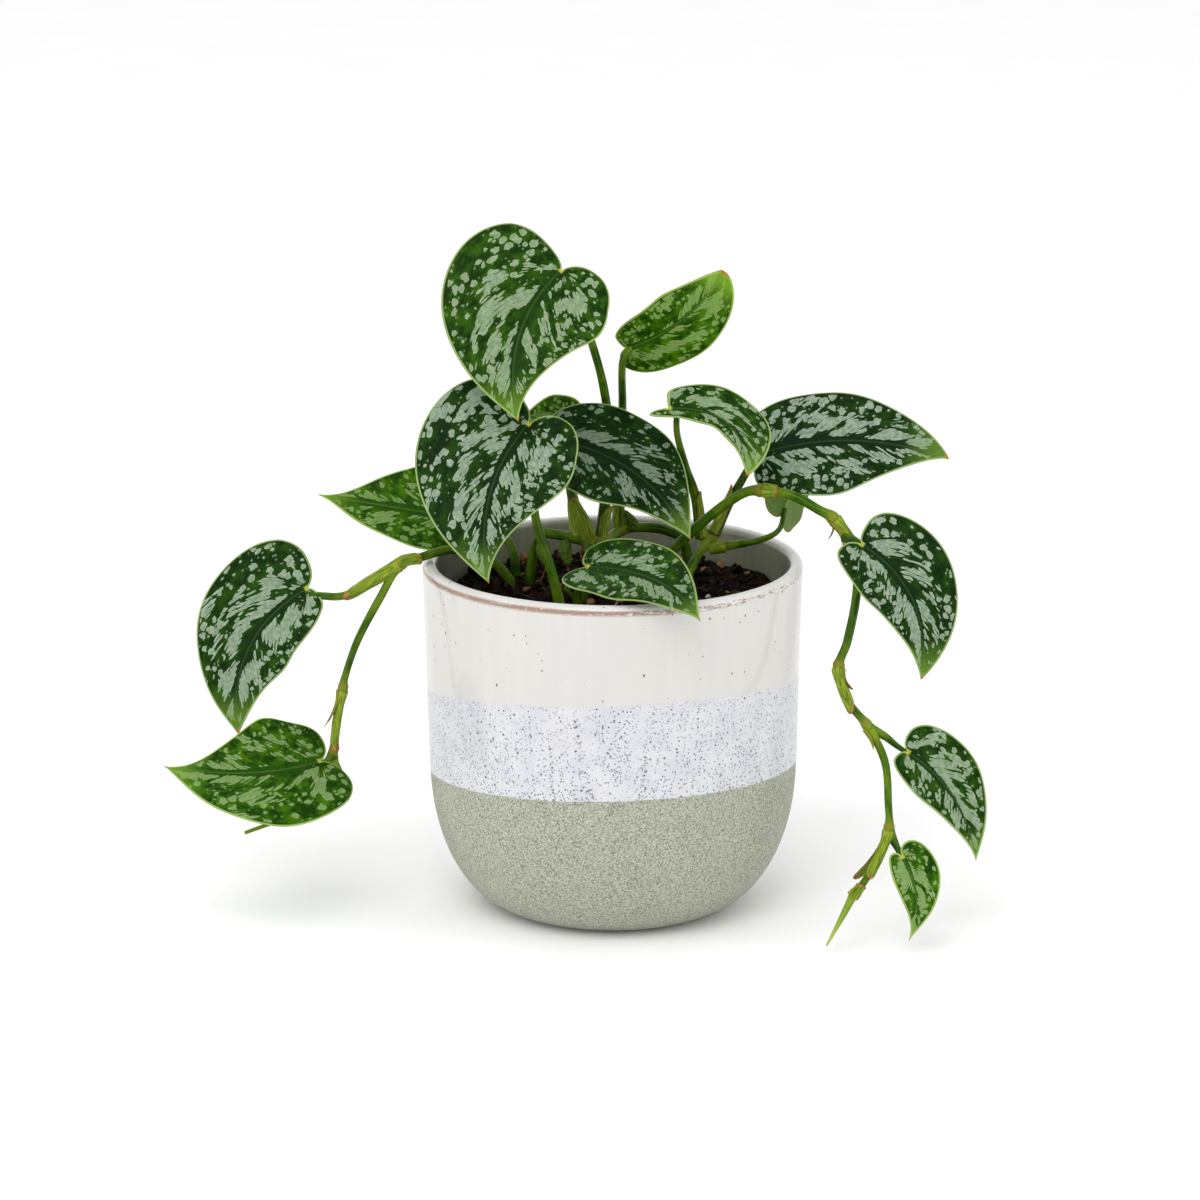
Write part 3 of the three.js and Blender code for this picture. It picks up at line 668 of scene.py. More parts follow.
def underside_finish(name, freshness):
    """Lower skin: paler and duller, with raised veins and no silver."""
    f = LeafSkin(f"leaf_underside_{name}", freshness)
    mottle = f.cloud(f.blade, 0.25, 3)
    pale = f.blend(freshness, f.blend(mottle, tint(62, 92, 46), tint(86, 116, 64)),
                   f.blend(mottle, tint(84, 114, 44), tint(116, 142, 66)))
    lines = f.larger(f.ease(f.off_lines(f.veins, side_vein_spacing), 0.14, 0.0),
                     f.ease(f.to_midrib, 1.1, 0.4))
    colour = f.wash(pale, lines, 0.45, f.by_age((104, 134, 72), (138, 164, 78)))
    rim = f.ease(f.to_rim, 0.7, 0.3)
    colour = f.wash(colour, rim, 0.7, f.by_age((150, 150, 92), (128, 104, 60)))
    height = f.sum(f.times(lines, 0.8), f.times(f.cloud(f.blade, 2.5, 2), 0.4))
    return f.done(Base_Color=colour, Roughness=f.ease(mottle, 0.3, 0.7, 0.5, 0.62),
                  Normal=f.relief(height, 0.1), Specular_IOR_Level=0.16)


print("finishes so far:", len(bpy.data.materials))

# %% [markdown]
# ## Building the leaves
# A leaf blade is thin all over, thinner still at the rim, and its midrib stands out underneath. So
# the middle surface is offset to both sides along its own normal, and a strip round the edge
# closes the two skins into one body.

# %% Leaf blades
blade_half_thickness = 0.24
rim_half_thickness = 0.1
rim_rounding = 0.8
rib_height = 0.55
rib_half_width = 0.75
rib_thinning = 0.8
rib_groove = 0.12
rib_groove_half_width = 0.4
ring_crowding = 1.25
ripple_sizes = (0.25, 0.6)
half_shift = 80
normal_step = 0.05


def blade_normals(row, x, y, side):
    """Upward normal of the middle surface: the cross product of two short steps, one along the leaf
    and one away from the midrib."""
    here = bend_blade(row, x, y, side)
    ahead = bend_blade(row, x + normal_step, y, side) - here
    outward = (bend_blade(row, x, y + normal_step, side) - here) * side[:, None]
    normal = np.cross(ahead, outward)
    return normal / np.linalg.norm(normal, axis=1, keepdims=True)


def blade_grid(row):
    """The flat blade: rays from the notch to the outline, and rings across them that lie closer
    together towards the rim. Gives back the number of rays, and x, y, the side and the distance to
    the rim of each point."""
    length = leaf_axes(row)[1]
    left = half_outline(length, row["left"])
    right = half_outline(length, row["right"])
    outline = np.vstack([left[:-1][::-1], right[1:-1]])
    ray_side = np.concatenate([np.ones(len(left) - 1), -np.ones(len(right) - 2)])
    share = 1 - (1 - np.linspace(0, 1, blade_rings + 1)[1:]) ** ring_crowding
    x = np.concatenate([[0], (outline[:, :1] * share).ravel()])
    y = np.concatenate([[0], (outline[:, 1:] * share).ravel()])
    side = np.concatenate([[1], np.repeat(ray_side, blade_rings)])
    edge = np.vstack([left, right * (1, -1)])
    to_rim = np.hypot(x[:, None] - edge[:, 0], (y * side)[:, None] - edge[:, 1]).min(axis=1)
    return len(outline), x, y, side, to_rim


def blade_skins(row, x, y, side, to_rim, to_midrib, seed):
    """Points of the upper and of the lower skin. The upper one has a groove over the midrib, and
    the midrib stands out of the lower one."""
    length = leaf_axes(row)[1]
    rim = to_midrib / (to_midrib + to_rim + 1e-6)
    random = np.random.default_rng(seed)
    ripple_size = random.uniform(*ripple_sizes)
    ripple = blade_ripple(row, x, y, side, rim, ripple_size, random.uniform())
    middle = bend_blade(row, x, y, side) + ripple[:, None] * leaf_axes(row)[4]
    normal = blade_normals(row, x, y, side)
    rounded = np.sqrt(1 - (1 - np.clip(to_rim / rim_rounding, 0, 1)) ** 2)
    half = rim_half_thickness + (blade_half_thickness - rim_half_thickness) * rounded
    rib = rib_height * np.exp(-(to_midrib / rib_half_width) ** 2)
    rib = rib * (1 - rib_thinning * np.clip(x / length, 0, 1)) * rounded
    groove = rib_groove * np.exp(-(to_midrib / rib_groove_half_width) ** 2)
    return np.vstack([middle + normal * (half - groove)[:, None],
                      middle - normal * (half + rib)[:, None]])


def blade_faces(rays):
    """Faces of the upper skin, of the lower skin and of the strip that joins them all round. Each
    skin is a fan at the notch and quads from there to the rim."""
    quads = grid_quads(rays, blade_rings)[:, ::-1] + 1
    first_ring = 1 + blade_rings * np.arange(rays)
    fan = np.column_stack([np.zeros(rays - 1, int), first_ring[1:], first_ring[:-1]])
    first_ray = 1 + np.arange(blade_rings)
    last_ray = first_ring[-1] + np.arange(blade_rings)
    border = np.concatenate([[0], first_ray, first_ring[1:] + blade_rings - 1,
                             last_ray[:-1][::-1]])
    after = np.roll(border, -1)
    under = 1 + rays * blade_rings
    strip = np.column_stack([border, border + under, after + under, after])
    return [quads, fan, quads[:, ::-1] + under, fan[:, ::-1] + under, strip]


def build_leaf(name, row, seed):
    """One blade, closed all round, with the numbers at its points that its two finishes use. The
    veins of the two halves are shifted far apart, so that their patterns differ."""
    length = leaf_axes(row)[1]
    rays, x, y, side, to_rim = blade_grid(row)
    to_midrib = np.where(x > 0, y, np.hypot(x, y))
    points = blade_skins(row, x, y, side, to_rim, to_midrib, seed)
    faces = blade_faces(rays)
    finish_of_face = np.repeat([0, 0, 1, 1, 0], [len(block) for block in faces])
    out, start = vein_place(x, y, length)
    layers = {
        "to_rim": to_rim,
        "to_midrib": to_midrib,
        "blade": np.column_stack([x, y * side, 0 * x]),
        "veins": np.column_stack([out, start + half_shift * side, 0 * x]),
        "share": np.column_stack([x / length, 0 * x, 0 * x]),
    }
    both_skins = {layer: np.concatenate([values, values]) for layer, values in layers.items()}
    skins = [leaf_finish(name, length, row["fresh"], row["silver"], seed),
             underside_finish(name, row["fresh"])]
    piece = make_piece(f"leaf_{name}", points, faces, skins, both_skins, finish_of_face)
    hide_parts(f"blade_{name}")
    return piece


leaves = [build_leaf(name, row, seed) for seed, (name, row) in enumerate(leaf_rows.items(), 1)]
print("leaf faces:", sum(len(leaf.data.polygons) for leaf in leaves))

# %% [markdown]
# ## Stems as routes
# A stem is told by a few points that it passes through. A vine has a girth, its radius at the start
# and at the end, and some of its points, counted from 0, are nodes, where it swells. A leaf stalk
# starts under the notch of its leaf, some of them slimmer than the rest, and widens towards its
# foot. These are the solid stems' rows.

# %% Stem rows
stem_rows = {
    "creeping_stem": dict(girth=(1.6, 1.6), nodes=(5, 7), route=[
        (-27, 14, 92), (-26, 14, 106), (-23, 13, 116), (-17, 11, 117), (-10, 8, 116), (-4, 8, 115),
        (0, 14, 116), (3, 19, 117), (9, 21, 117), (17, 21, 116), (23, 18, 112), (25, 17, 94)]),
    "crown_stem": dict(girth=(1.5, 1.6), nodes=(1,), route=[
        (32, 8, 118), (30, 7, 116), (27, 2, 113), (24, -4, 109), (21, -8, 104), (20, -9, 94)]),
    "right_vine": dict(girth=(1.7, 1.1), nodes=(5, 8, 12, 14, 17, 20), route=[
        (12, -5, 92), (13, -4, 104), (18, -2, 114), (29, -2, 125), (40, -5, 134), (47, -8, 136),
        (56, -11, 135), (64, -13, 131), (69, -14, 128), (75, -15, 119), (76, -17, 106),
        (73, -24, 92), (70, -29, 84), (73, -35, 75), (79, -39, 68), (84, -43, 58), (85, -47, 46),
        (85, -50, 38), (82, -52, 30), (77, -54, 22), (74, -54, 18)]),
    "left_vine": dict(girth=(1.7, 0.6), nodes=(5, 9, 11), route=[
        (-30, 6, 92), (-31, 6, 100), (-38, 4, 110), (-50, 0, 115), (-61, -7, 114), (-67, -8, 112),
        (-73, -10, 102), (-80, -12, 89), (-84, -14, 78), (-85, -15, 73), (-87, -17, 62),
        (-88, -18, 53), (-86, -12, 43), (-93, -5, 34), (-104, -4, 28), (-117, -8, 24)]),
    "furled_leaf": dict(girth=(1.4, 0.3), nodes=(), route=[
        (74, -54, 18), (71, -55, 12), (66, -57, 3)]),
    "petiole_high_left": dict(leaf="high_left", route=[
        (-12, 1, 196), (-5, 8, 174), (-2, 15, 158), (-1, 17, 145), (-2, 15, 131), (-4, 9, 116)]),
    "petiole_high_right": dict(leaf="high_right", route=[
        (3, 9, 173), (3, 19, 158), (3, 22, 142), (2, 21, 127), (2, 18, 117)]),
    "petiole_mid_left": dict(leaf="mid_left", route=[
        (-26, -15, 147), (-24, -18, 129), (-20, -20, 116), (-17, -21, 104), (-16, -21, 94)]),
    "petiole_behind": dict(leaf="behind", route=[
        (-11, 21, 143), (-13, 18, 130), (-12, 13, 121), (-11, 9, 116)]),
    "petiole_centre": dict(leaf="centre", route=[
        (-14, 6, 142), (-13, 7, 130), (-9, 6, 122), (-7, 7, 115)]),
    "petiole_left_green": dict(leaf="left_green", route=[
        (-38, 20, 116), (-33, 17, 113), (-31, 13, 106), (-31, 13, 93)]),
    "petiole_curled": dict(leaf="curled", tip_radius=1, route=[
        (20, -4, 153), (23, 5, 140), (26, 9, 130), (28, 7, 117)]),
    "petiole_far_right": dict(leaf="far_right", route=[
        (44, 8, 141), (40, 9, 134), (36, 10, 126), (32, 8, 118)]),
    "petiole_young": dict(leaf="young", tip_radius=0.8, route=[
        (52, -3, 122), (46, 0, 118), (39, 3, 116), (31, 6, 114)]),
    "petiole_front": dict(leaf="front", route=[(-10, -30, 113), (-11, -28, 105), (-11, -28, 95)]),
    "petiole_drooping_right": dict(leaf="drooping_right", route=[(75, -17, 122), (72, -15, 123)]),
    "petiole_vine_third": dict(leaf="vine_third", tip_radius=0.8, route=[
        (88, -39, 62), (84, -38, 65), (79, -39, 68)]),
    "petiole_vine_fourth": dict(leaf="vine_fourth", tip_radius=0.8, route=[
        (87, -50, 34), (85, -50, 38)]),
    "petiole_drooping_left": dict(leaf="drooping_left", route=[
        (-91, -8, 102), (-84, -11, 103), (-76, -10, 107), (-67, -8, 112)]),
    "petiole_lowest_left": dict(leaf="lowest_left", tip_radius=0.8, route=[
        (-90, -19, 51), (-88, -18, 53)]),
}
print("stems:", len(stem_rows))

# %% [markdown]
# ## The shape of a stem
# Rings of points follow the route. Each ring is turned from the last one by as little as possible,
# so that the streaks of the skin don't twist. Vines have low ribs, and a leaf stalk has a groove
# down its upper side. A node is a raised ring with a paler stretch after it.

# %% Stem surfaces
ring_step = 0.8
stem_sides = 20
node_swell = 0.6
node_reach = 2.6
scar_before_node = 1.6
scar_width = 0.45
scar_height = 0.14
pale_after_node = 1.5
pale_reach = 5
pale_tip = (14, 2)
vine_ribs = 7
vine_rib_height = 0.035
stalk_groove = 0.13
unevenness = 0.012
uneven_spans = (2.1, 3.7, 6.3)
stem_seed_start = 40
stalk_reach = 2
stalk_end_depth = 0.9
stalk_tip_radius = 1.2
stalk_foot_radius = 2


def stem_route(name):
    """The points of a stem. A leaf stalk starts at the underside of its own leaf's notch."""
    row = stem_rows[name]
    route = np.array(row["route"], float)
    if "leaf" not in row:
        return route
    leaf = leaf_rows[row["leaf"]]
    under_notch = bend_blade(leaf, np.array([stalk_reach]), np.zeros(1), np.ones(1))[0]
    depth = stalk_end_depth * row.get("tip_radius", stalk_tip_radius)
    return np.vstack([under_notch - leaf_axes(leaf)[4] * depth, route])


def even_places(route, step):
    """Places along a route, counted in points, that are about one step apart, and their distances
    from its start in millimetres."""
    fine = np.linspace(0, len(route) - 1, 60 * len(route))
    path = through(route, fine)
    run = np.concatenate([[0], np.cumsum(np.linalg.norm(np.diff(path, axis=0), axis=1))])
    distances = np.linspace(0, run[-1], max(8, round(run[-1] / step)))
    return np.interp(distances, run, fine), distances


def stem_radius(name, centres, distances):
    """Radius at each centre. A stalk widens with the square of the way to its foot. Other stems go
    evenly from one girth to the other and swell like a bell round each node."""
    row = stem_rows[name]
    share = distances / distances[-1]
    if "leaf" in row:
        tip_radius = row.get("tip_radius", stalk_tip_radius)
        return tip_radius + (stalk_foot_radius - tip_radius) * share ** 2
    radius = row["girth"][0] + (row["girth"][1] - row["girth"][0]) * share
    for node in row["nodes"]:
        away = np.linalg.norm(centres - np.array(row["route"][node]), axis=1)
        radius = radius + node_swell * np.exp(-(away / node_reach) ** 2)
    return radius


def ring_frames(centres):
    """Two directions across a path, at right angles to each other. The first is always the one
    before it, made square to the new direction of the path."""
    ahead = np.gradient(centres, axis=0)
    ahead /= np.linalg.norm(ahead, axis=1, keepdims=True)
    side = np.empty_like(ahead)
    last = np.array([1, 0.3, 0])
    for k, direction in enumerate(ahead):
        last = last - direction * (last @ direction)
        last /= np.linalg.norm(last)
        side[k] = last
    return side, np.cross(ahead, side)


def tube(centres, reach, side, other, end_rise):
    """Points and faces of a closed tube: a ring round each centre, with a distance for each of its
    points, and a low cone of the given height at each end."""
    count, sides = reach.shape
    angle = np.linspace(0, 2 * math.pi, sides, endpoint=False)
    outwards = np.cos(angle)[:, None] * side[:, None] + np.sin(angle)[:, None] * other[:, None]
    rings = centres[:, None] + reach[..., None] * outwards
    start_way, end_way = centres[0] - centres[1], centres[-1] - centres[-2]
    ends = [centres[0] + end_rise[0] * start_way / np.linalg.norm(start_way),
            centres[-1] + end_rise[1] * end_way / np.linalg.norm(end_way)]
    return np.vstack([rings.reshape(-1, 3), ends]), closed_rings(count, sides)


def node_marks(row, at, distances):
    """How much each ring of a stem belongs to the sharp ring just before a node, and how much to
    the pale stretch after it. A vine that ends in a growing tip is pale there too."""
    node_places = np.interp(row.get("nodes", ()), at, distances)
    away = distances[:, None] - node_places[None, :]
    scar = np.exp(-((away + scar_before_node) / scar_width) ** 2).sum(axis=1)
    pale = np.exp(-((away - pale_after_node) / pale_reach) ** 2).sum(axis=1)
    if "leaf" not in row and row["girth"][1] < 1:
        pale = pale + smooth_step(distances[-1] - distances, *pale_tip)
    return scar, pale


def build_stem(name, seed):
    """A closed tube of rings round the route. Its radius follows the rule above, with low ribs or a
    groove, a faint unevenness, and a sharp ring just before each node."""
    row = stem_rows[name]
    route = stem_route(name)
    at, distances = even_places(route, ring_step)
    centres = through(route, at)
    radius = stem_radius(name, centres, distances)
    side, other = ring_frames(centres)
    angle = np.linspace(0, 2 * math.pi, stem_sides, endpoint=False)
    scar, pale = node_marks(row, at, distances)

    random = np.random.default_rng(seed + stem_seed_start)
    beats = random.uniform(0, 2 * math.pi, len(uneven_spans))
    uneven = sum(np.sin(distances / span + beat) for span, beat in zip(uneven_spans, beats))
    top = np.cos(angle) * side[:, 2:] + np.sin(angle) * other[:, 2:]
    if "leaf" in row:
        fluting = -stalk_groove * smooth_step(top, 0.55, 1.0)
    else:
        fluting = vine_rib_height * np.cos(vine_ribs * angle)
    shape = 1 + fluting + unevenness * uneven[:, None] + scar_height * scar[:, None]
    points, faces = tube(centres, radius[:, None] * shape, side, other, radius[[0, -1]] / 2)

    ring_of_point = np.concatenate([np.repeat(np.arange(len(at)), stem_sides), [0, len(at) - 1]])
    round_layers = [np.concatenate([np.tile(wheel, len(at)), [0, 0]]) * 3
                    for wheel in (np.cos(angle), np.sin(angle))]
    layers = {"run": np.column_stack([distances[ring_of_point], *round_layers]),
              "ring": np.clip(scar, 0, 1)[ring_of_point],
              "pale": np.clip(pale, 0, 1)[ring_of_point]}
    is_shoot = name == "furled_leaf"
    finish = new_shoot_finish if is_shoot else stem_finish
    piece = make_piece(f"fine_{name}", points, faces, [finish], layers)
    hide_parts(name)
    return piece


print("the right vine has", len(even_places(stem_route("right_vine"), ring_step)[0]), "rings")

# %% [markdown]
# ## The skin of a stem
# Stems are glossy mid green with fine lengthwise streaks. Just above a node they are yellow-green,
# and the node itself carries a thin tan scar. Papery sheaths dry from their edges inwards.

# %% Stem finishes
def green_stem_finish(name, dark, light, node_colour):
    """Fine streaks from dark to light. The node colour shows after each node and in blotches, and
    pale freckles and the nodes' tan scars lie on top."""
    f = Finish(name)
    run = f.layer("run", "Vector")
    streaks = f.cloud(f.stretch(run, (0.12, 1.6, 1.6)), 1.0, 4, 0.6)
    blotches = f.cloud(f.place(), 0.12, 3)
    colour = f.blend(f.ease(streaks, 0.36, 0.64), dark, light)
    colour = f.wash(colour, f.ease(blotches, 0.42, 0.68), 0.4, node_colour)
    colour = f.wash(colour, f.layer("pale"), 0.75, node_colour)
    freckles = f.cells(f.stretch(f.place(), (1.1,) * 3), "Distance", space="3D")
    colour = f.blend(f.ease(freckles, 0.14, 0.04, 0, 0.5), colour, tint(150, 170, 100))
    scar = f.times(f.layer("ring"), f.ease(f.cloud(f.place(), 1.4, 3), 0.3, 0.6))
    colour = f.blend(scar, colour, tint(150, 104, 52))
    height = f.sum(f.times(streaks, 0.8), f.times(f.cloud(f.place(), 1.8, 3), 0.4))
    return f.done(Base_Color=colour, Roughness=f.ease(streaks, 0.3, 0.7, 0.24, 0.36),
                  Normal=f.relief(height, 0.12), Specular_IOR_Level=0.1)


def sheath_finish():
    """Thin sheath: yellow-green where it lives, straw and rust brown where it has dried."""
    f = Finish("papery_sheath")
    sheath = f.layer("sheath", "Vector")
    fibres = f.cloud(f.stretch(sheath, (0.25, 3.2, 1)), 1.0, 4, 0.6)
    green = f.blend(f.ease(fibres, 0.3, 0.7), tint(62, 94, 10), tint(146, 162, 48))
    dried = f.blend(f.ease(fibres, 0.35, 0.62), tint(104, 56, 22), tint(178, 136, 76))
    dryness = f.sum(f.part(sheath, "Z"), f.times(f.less(f.cloud(f.place(), 0.7, 3), 0.5), 0.7))
    colour = f.blend(f.ease(dryness, 0.45, 0.8), green, dried)
    return f.done(Base_Color=colour, Roughness=f.ease(dryness, 0.3, 0.8, 0.42, 0.7),
                  Normal=f.relief(fibres, 0.12), Specular_IOR_Level=0.1)


def rootlet_skin(name, dark, light):
    """Corky skin with rings across it."""
    f = Finish(name)
    grain = f.cloud(f.stretch(f.place(), (1.5, 1.5, 2.5)), 1.0, 4, 0.6)
    colour = f.blend(f.ease(grain, 0.35, 0.65), dark, light)
    return f.done(Base_Color=colour, Roughness=f.ease(grain, 0.3, 0.7, 0.55, 0.75),
                  Normal=f.relief(grain, 0.2), Specular_IOR_Level=0.12)


stem_finish = green_stem_finish("green_stem", tint(20, 50, 1), tint(68, 108, 6),
                                tint(124, 150, 34))
new_shoot_finish = green_stem_finish("new_shoot", tint(88, 122, 22), tint(132, 158, 48),
                                     tint(170, 186, 84))
dry_sheath_finish = sheath_finish()
bud_finish = rootlet_skin("green_bud", tint(38, 62, 8), tint(96, 124, 36))
rootlet_finish = rootlet_skin("brown_rootlet", tint(72, 46, 24), tint(138, 102, 62))
stub_finish = rootlet_skin("cut_stub", tint(40, 66, 14), tint(84, 110, 36))
stems = [build_stem(name, seed) for seed, name in enumerate(stem_rows, 1)]
print("stem faces:", sum(len(stem.data.polygons) for stem in stems))

# %% [markdown]
# ## Sheaths
# Each new leaf of this vine unrolls from a sheath, which stays on the stem as a thin sleeve. It
# wraps the stem at its root and narrows to a tongue, and its edges dry to a brown line. The sleeve
# lies close to the stem and stands off a little towards its tip.

# %% Sheaths
sheath_stations = 32
sheath_columns = 17
sheath_thickness = 0.16
sheath_clearance = 0.14
edge_curl = 0.22
tip_share = 0.1
tip_squareness = 2.4
fibre_spread = 2.5

# Each row: the stem, the node that the sheath starts at, its length, the way its middle looks in
# degrees from the front towards the right, how far it wraps to each side, how far its tip stands
# off, and how dry it is. Without a node it starts at the stalk's foot and runs up towards the leaf.
sheath_rows = {
    "sheath_right_vine_first": ("right_vine", 5, 5, -20, 170, 0.2, 0.45),
    "sheath_right_vine_second": ("right_vine", 8, 13, 30, 130, 0.4, 0.1),
    "sheath_right_vine_second_flap": ("right_vine", 8, 11, -70, 55, 1.9, 0.35),
    "sheath_right_vine_third": ("right_vine", 12, 15, -25, 125, 0.3, 0.15),
    "sheath_right_vine_third_torn": ("right_vine", 12, 8, 105, 42, 1.2, 0.95),
    "sheath_right_vine_fourth": ("right_vine", 14, 7, -80, 70, 0.6, 0.5),
    "sheath_right_vine_fifth": ("right_vine", 17, 16, 10, 130, 0.3, 0.05),
    "sheath_right_vine_fifth_torn": ("right_vine", 17, 19, -150, 40, 3.0, 0.3),
    "sheath_right_vine_tip": ("right_vine", 20, -5, 0, 170, 0.1, 0.5),
    "sheath_left_vine_first": ("left_vine", 5, -7, 20, 150, 0.3, 0.2),
    "sheath_left_vine_second": ("left_vine", 9, 19, 35, 125, 0.3, 0.1),
    "sheath_left_vine_second_torn": ("left_vine", 9, 12, -95, 60, 2.4, 0.3),
    "sheath_left_stalk": ("petiole_drooping_left", None, 20, 10, 115, 0.15, 0.1),
    "sheath_far_right_stalk": ("petiole_far_right", None, 17, -70, 95, 0.5, 0.2),
    "sheath_high_left_stalk": ("petiole_high_left", None, 11, 60, 90, 0.5, 0.0),
    "sheath_high_right_stalk": ("petiole_high_right", None, 30, -80, 80, 0.2, 0.0),
    "sheath_behind_stalk": ("petiole_behind", None, 16, 20, 90, 0.2, 0.0),
    "sheath_centre_stalk": ("petiole_centre", None, 17, 10, 90, 0.2, 0.0),
    "sheath_curled_stalk": ("petiole_curled", None, 15, 60, 75, 0.2, 0.2),
    "sheath_young_stalk": ("petiole_young", None, 6, 0, 90, 0.1, 0.0),
}


def sheath_course(stem, node, run):
    """Centres and radii of a stem at even stations along part of it, with the directions to its
    front and to its right. The part starts at a node, or at a stalk's foot."""
    route = stem_route(stem)
    at, distances = even_places(route, ring_step)
    root = distances[-1] if node is None else np.interp(node, at, distances)
    places = np.clip(root + run * np.linspace(0, 1, sheath_stations), 0, distances[-1])
    centres = through(route, np.interp(places, distances, at))
    radius = np.interp(places, distances, stem_radius(stem, through(route, at), distances))
    ahead = np.gradient(centres, axis=0)
    ahead /= np.linalg.norm(ahead, axis=1, keepdims=True)
    front = np.array([0, -1, 0]) - ahead * (ahead @ (0, -1, 0))[:, None]
    front /= np.linalg.norm(front, axis=1, keepdims=True)
    return centres, radius, front, np.cross(ahead, front)


def sheet_faces(rows, columns):
    """Faces of a thin sheet: the grid of its inner skin, that of its outer skin, whose points come
    after the inner ones, and a strip that joins them all round."""
    count = rows * columns
    quads = grid_quads(rows, columns)
    grid = np.arange(count).reshape(rows, columns)
    border = np.concatenate([grid[0, :-1], grid[:-1, -1], grid[-1, :0:-1], grid[:0:-1, 0]])
    after = np.roll(border, -1)
    strip = np.column_stack([border, after, after + count, border + count])
    return [quads[:, ::-1], quads + count, strip]


def build_sheath(name, stem, node, length, turn, wrap, stand_off, dryness):
    """A sleeve along part of a route. Its half width falls to a narrow tip as a quarter of a
    squarish circle, and its stand-off grows with the square of the way along."""
    centres, radius, front, right = sheath_course(stem, node, -length if node is None else length)
    turned_over = right[:, 0].mean() < 0
    right = -right if turned_over else right
    share = np.linspace(0, 1, sheath_stations)
    across = np.linspace(-1, 1, sheath_columns)
    random = np.random.default_rng(len(name) + length)
    width = tip_share + (1 - tip_share) * np.sqrt(1 - share ** tip_squareness)
    ragged = 0.05 * np.sin(9 * share + random.uniform(0, 6)) + 0.03 * np.sin(25 * share)
    angle = math.radians(turn) + math.radians(wrap) * across * (width + ragged * share)[:, None]
    curl = edge_curl * np.abs(across) ** 4 * share[:, None]
    lift = sheath_clearance + stand_off * share[:, None] ** 2 + curl
    direction = np.cos(angle)[..., None] * front[:, None] + np.sin(angle)[..., None] * right[:, None]
    inner = centres[:, None] + direction * (radius[:, None] + lift)[..., None]
    outer = inner + direction * sheath_thickness
    faces = sheet_faces(sheath_stations, sheath_columns)
    if turned_over:
        faces = [block[:, ::-1] for block in faces]
    dry = np.maximum(np.abs(across) ** 7 * 0.8, share[:, None] ** 6 * 0.9)
    dry = np.clip(np.maximum(dry, (1 - share[:, None]) ** 14 * 0.6) + 0.6 * dryness, 0, 1)
    layer = np.stack([np.broadcast_to(share[:, None] * length, dry.shape),
                      np.broadcast_to(across * fibre_spread, dry.shape), dry],
                     axis=-1).reshape(-1, 3)
    points = np.vstack([inner.reshape(-1, 3), outer.reshape(-1, 3)])
    return make_piece(name, points, faces, [dry_sheath_finish],
                      {"sheath": np.vstack([layer, layer])})


sheaths = [build_sheath(name, *row) for name, row in sheath_rows.items()]
print("sheaths:", len(sheaths))

# %% [markdown]
# ## Buds, rootlets and stubs
# Between the stalks the creeping stem carries green buds and thin brown rootlets, and a few old
# stalks were cut off short in the mix. All of them are short tubes along routes of their own.

# %% Buds, rootlets and stubs
small_sides = 10
small_step = 0.5

# Each row: the radius at the start, in the middle and at the end, and the route.
bud_rows = {
    "bud_left": ((1.4, 2.3, 1.0), [(-22, 10, 115), (-22, 5, 113), (-21, 1, 110)]),
    "bud_middle": ((1.4, 2.1, 0.9), [(-15, 9, 115), (-15, 4, 113), (-14, 1, 110)]),
    "bud_right": ((2.4, 1.7, 0.3), [(6, 19, 117), (6, 19, 119), (4, 19, 123)]),
    "bud_low": ((1.2, 1.7, 0.4), [(-8, 6, 115), (-7, 2, 113), (-5, -1, 110)]),
}
rootlet_rows = {
    "rootlet_left": ((0.5, 0.4, 0.15), [(-22, 11, 116), (-23, 7, 113), (-21, 4, 109),
                                        (-23, 2, 104)]),
    "rootlet_middle": ((0.5, 0.4, 0.15), [(-16, 10, 115), (-17, 6, 112), (-14, 4, 107),
                                          (-16, 1, 103)]),
    "rootlet_right": ((0.5, 0.4, 0.15), [(-9, 7, 115), (-10, 3, 112), (-8, 1, 106), (-9, -2, 102)]),
    "rootlet_right_vine": ((0.4, 0.3, 0.1), [(69, -15, 127), (68, -16, 124), (67, -15, 122)]),
}
stub_rows = {
    "stub_front": ((1.3, 1.2, 1.1), [(-9, -7, 99), (-9, -8, 102), (-8, -9, 105)]),
    "stub_left": ((1.1, 1.0, 1.0), [(-13, -4, 99), (-14, -5, 102), (-15, -5, 104)]),
}


def build_small_tube(name, radii, points, finish):
    """A closed tube whose radius is a parabola through the three given ones."""
    route = np.array(points, float)
    at, distances = even_places(route, small_step)
    centres = through(route, at)
    share = distances / distances[-1]
    start, middle, end = radii
    radius = (start * (1 - share) * (1 - 2 * share) + 4 * middle * share * (1 - share)
              + end * share * (2 * share - 1))
    side, other = ring_frames(centres)
    reach = np.repeat(radius[:, None], small_sides, axis=1)
    shell, faces = tube(centres, reach, side, other, radius[[0, -1]] / 2)
    return make_piece(name, shell, faces, [finish])


small_parts = []
for rows, finish in ((bud_rows, bud_finish), (rootlet_rows, rootlet_finish),
                     (stub_rows, stub_finish)):
    small_parts += [build_small_tube(name, *row, finish) for name, row in rows.items()]
print("small parts:", len(small_parts))

# %% [markdown]
# ## The pot
# The pot is turned on a wheel, so its surface is a profile carried round the upright axis: a
# hollowed foot, a full round corner, a nearly upright wall, a rounded lip and the inside. Each
# dip in glaze leaves a coat, so the wall steps out by a fraction of a millimetre at each edge.

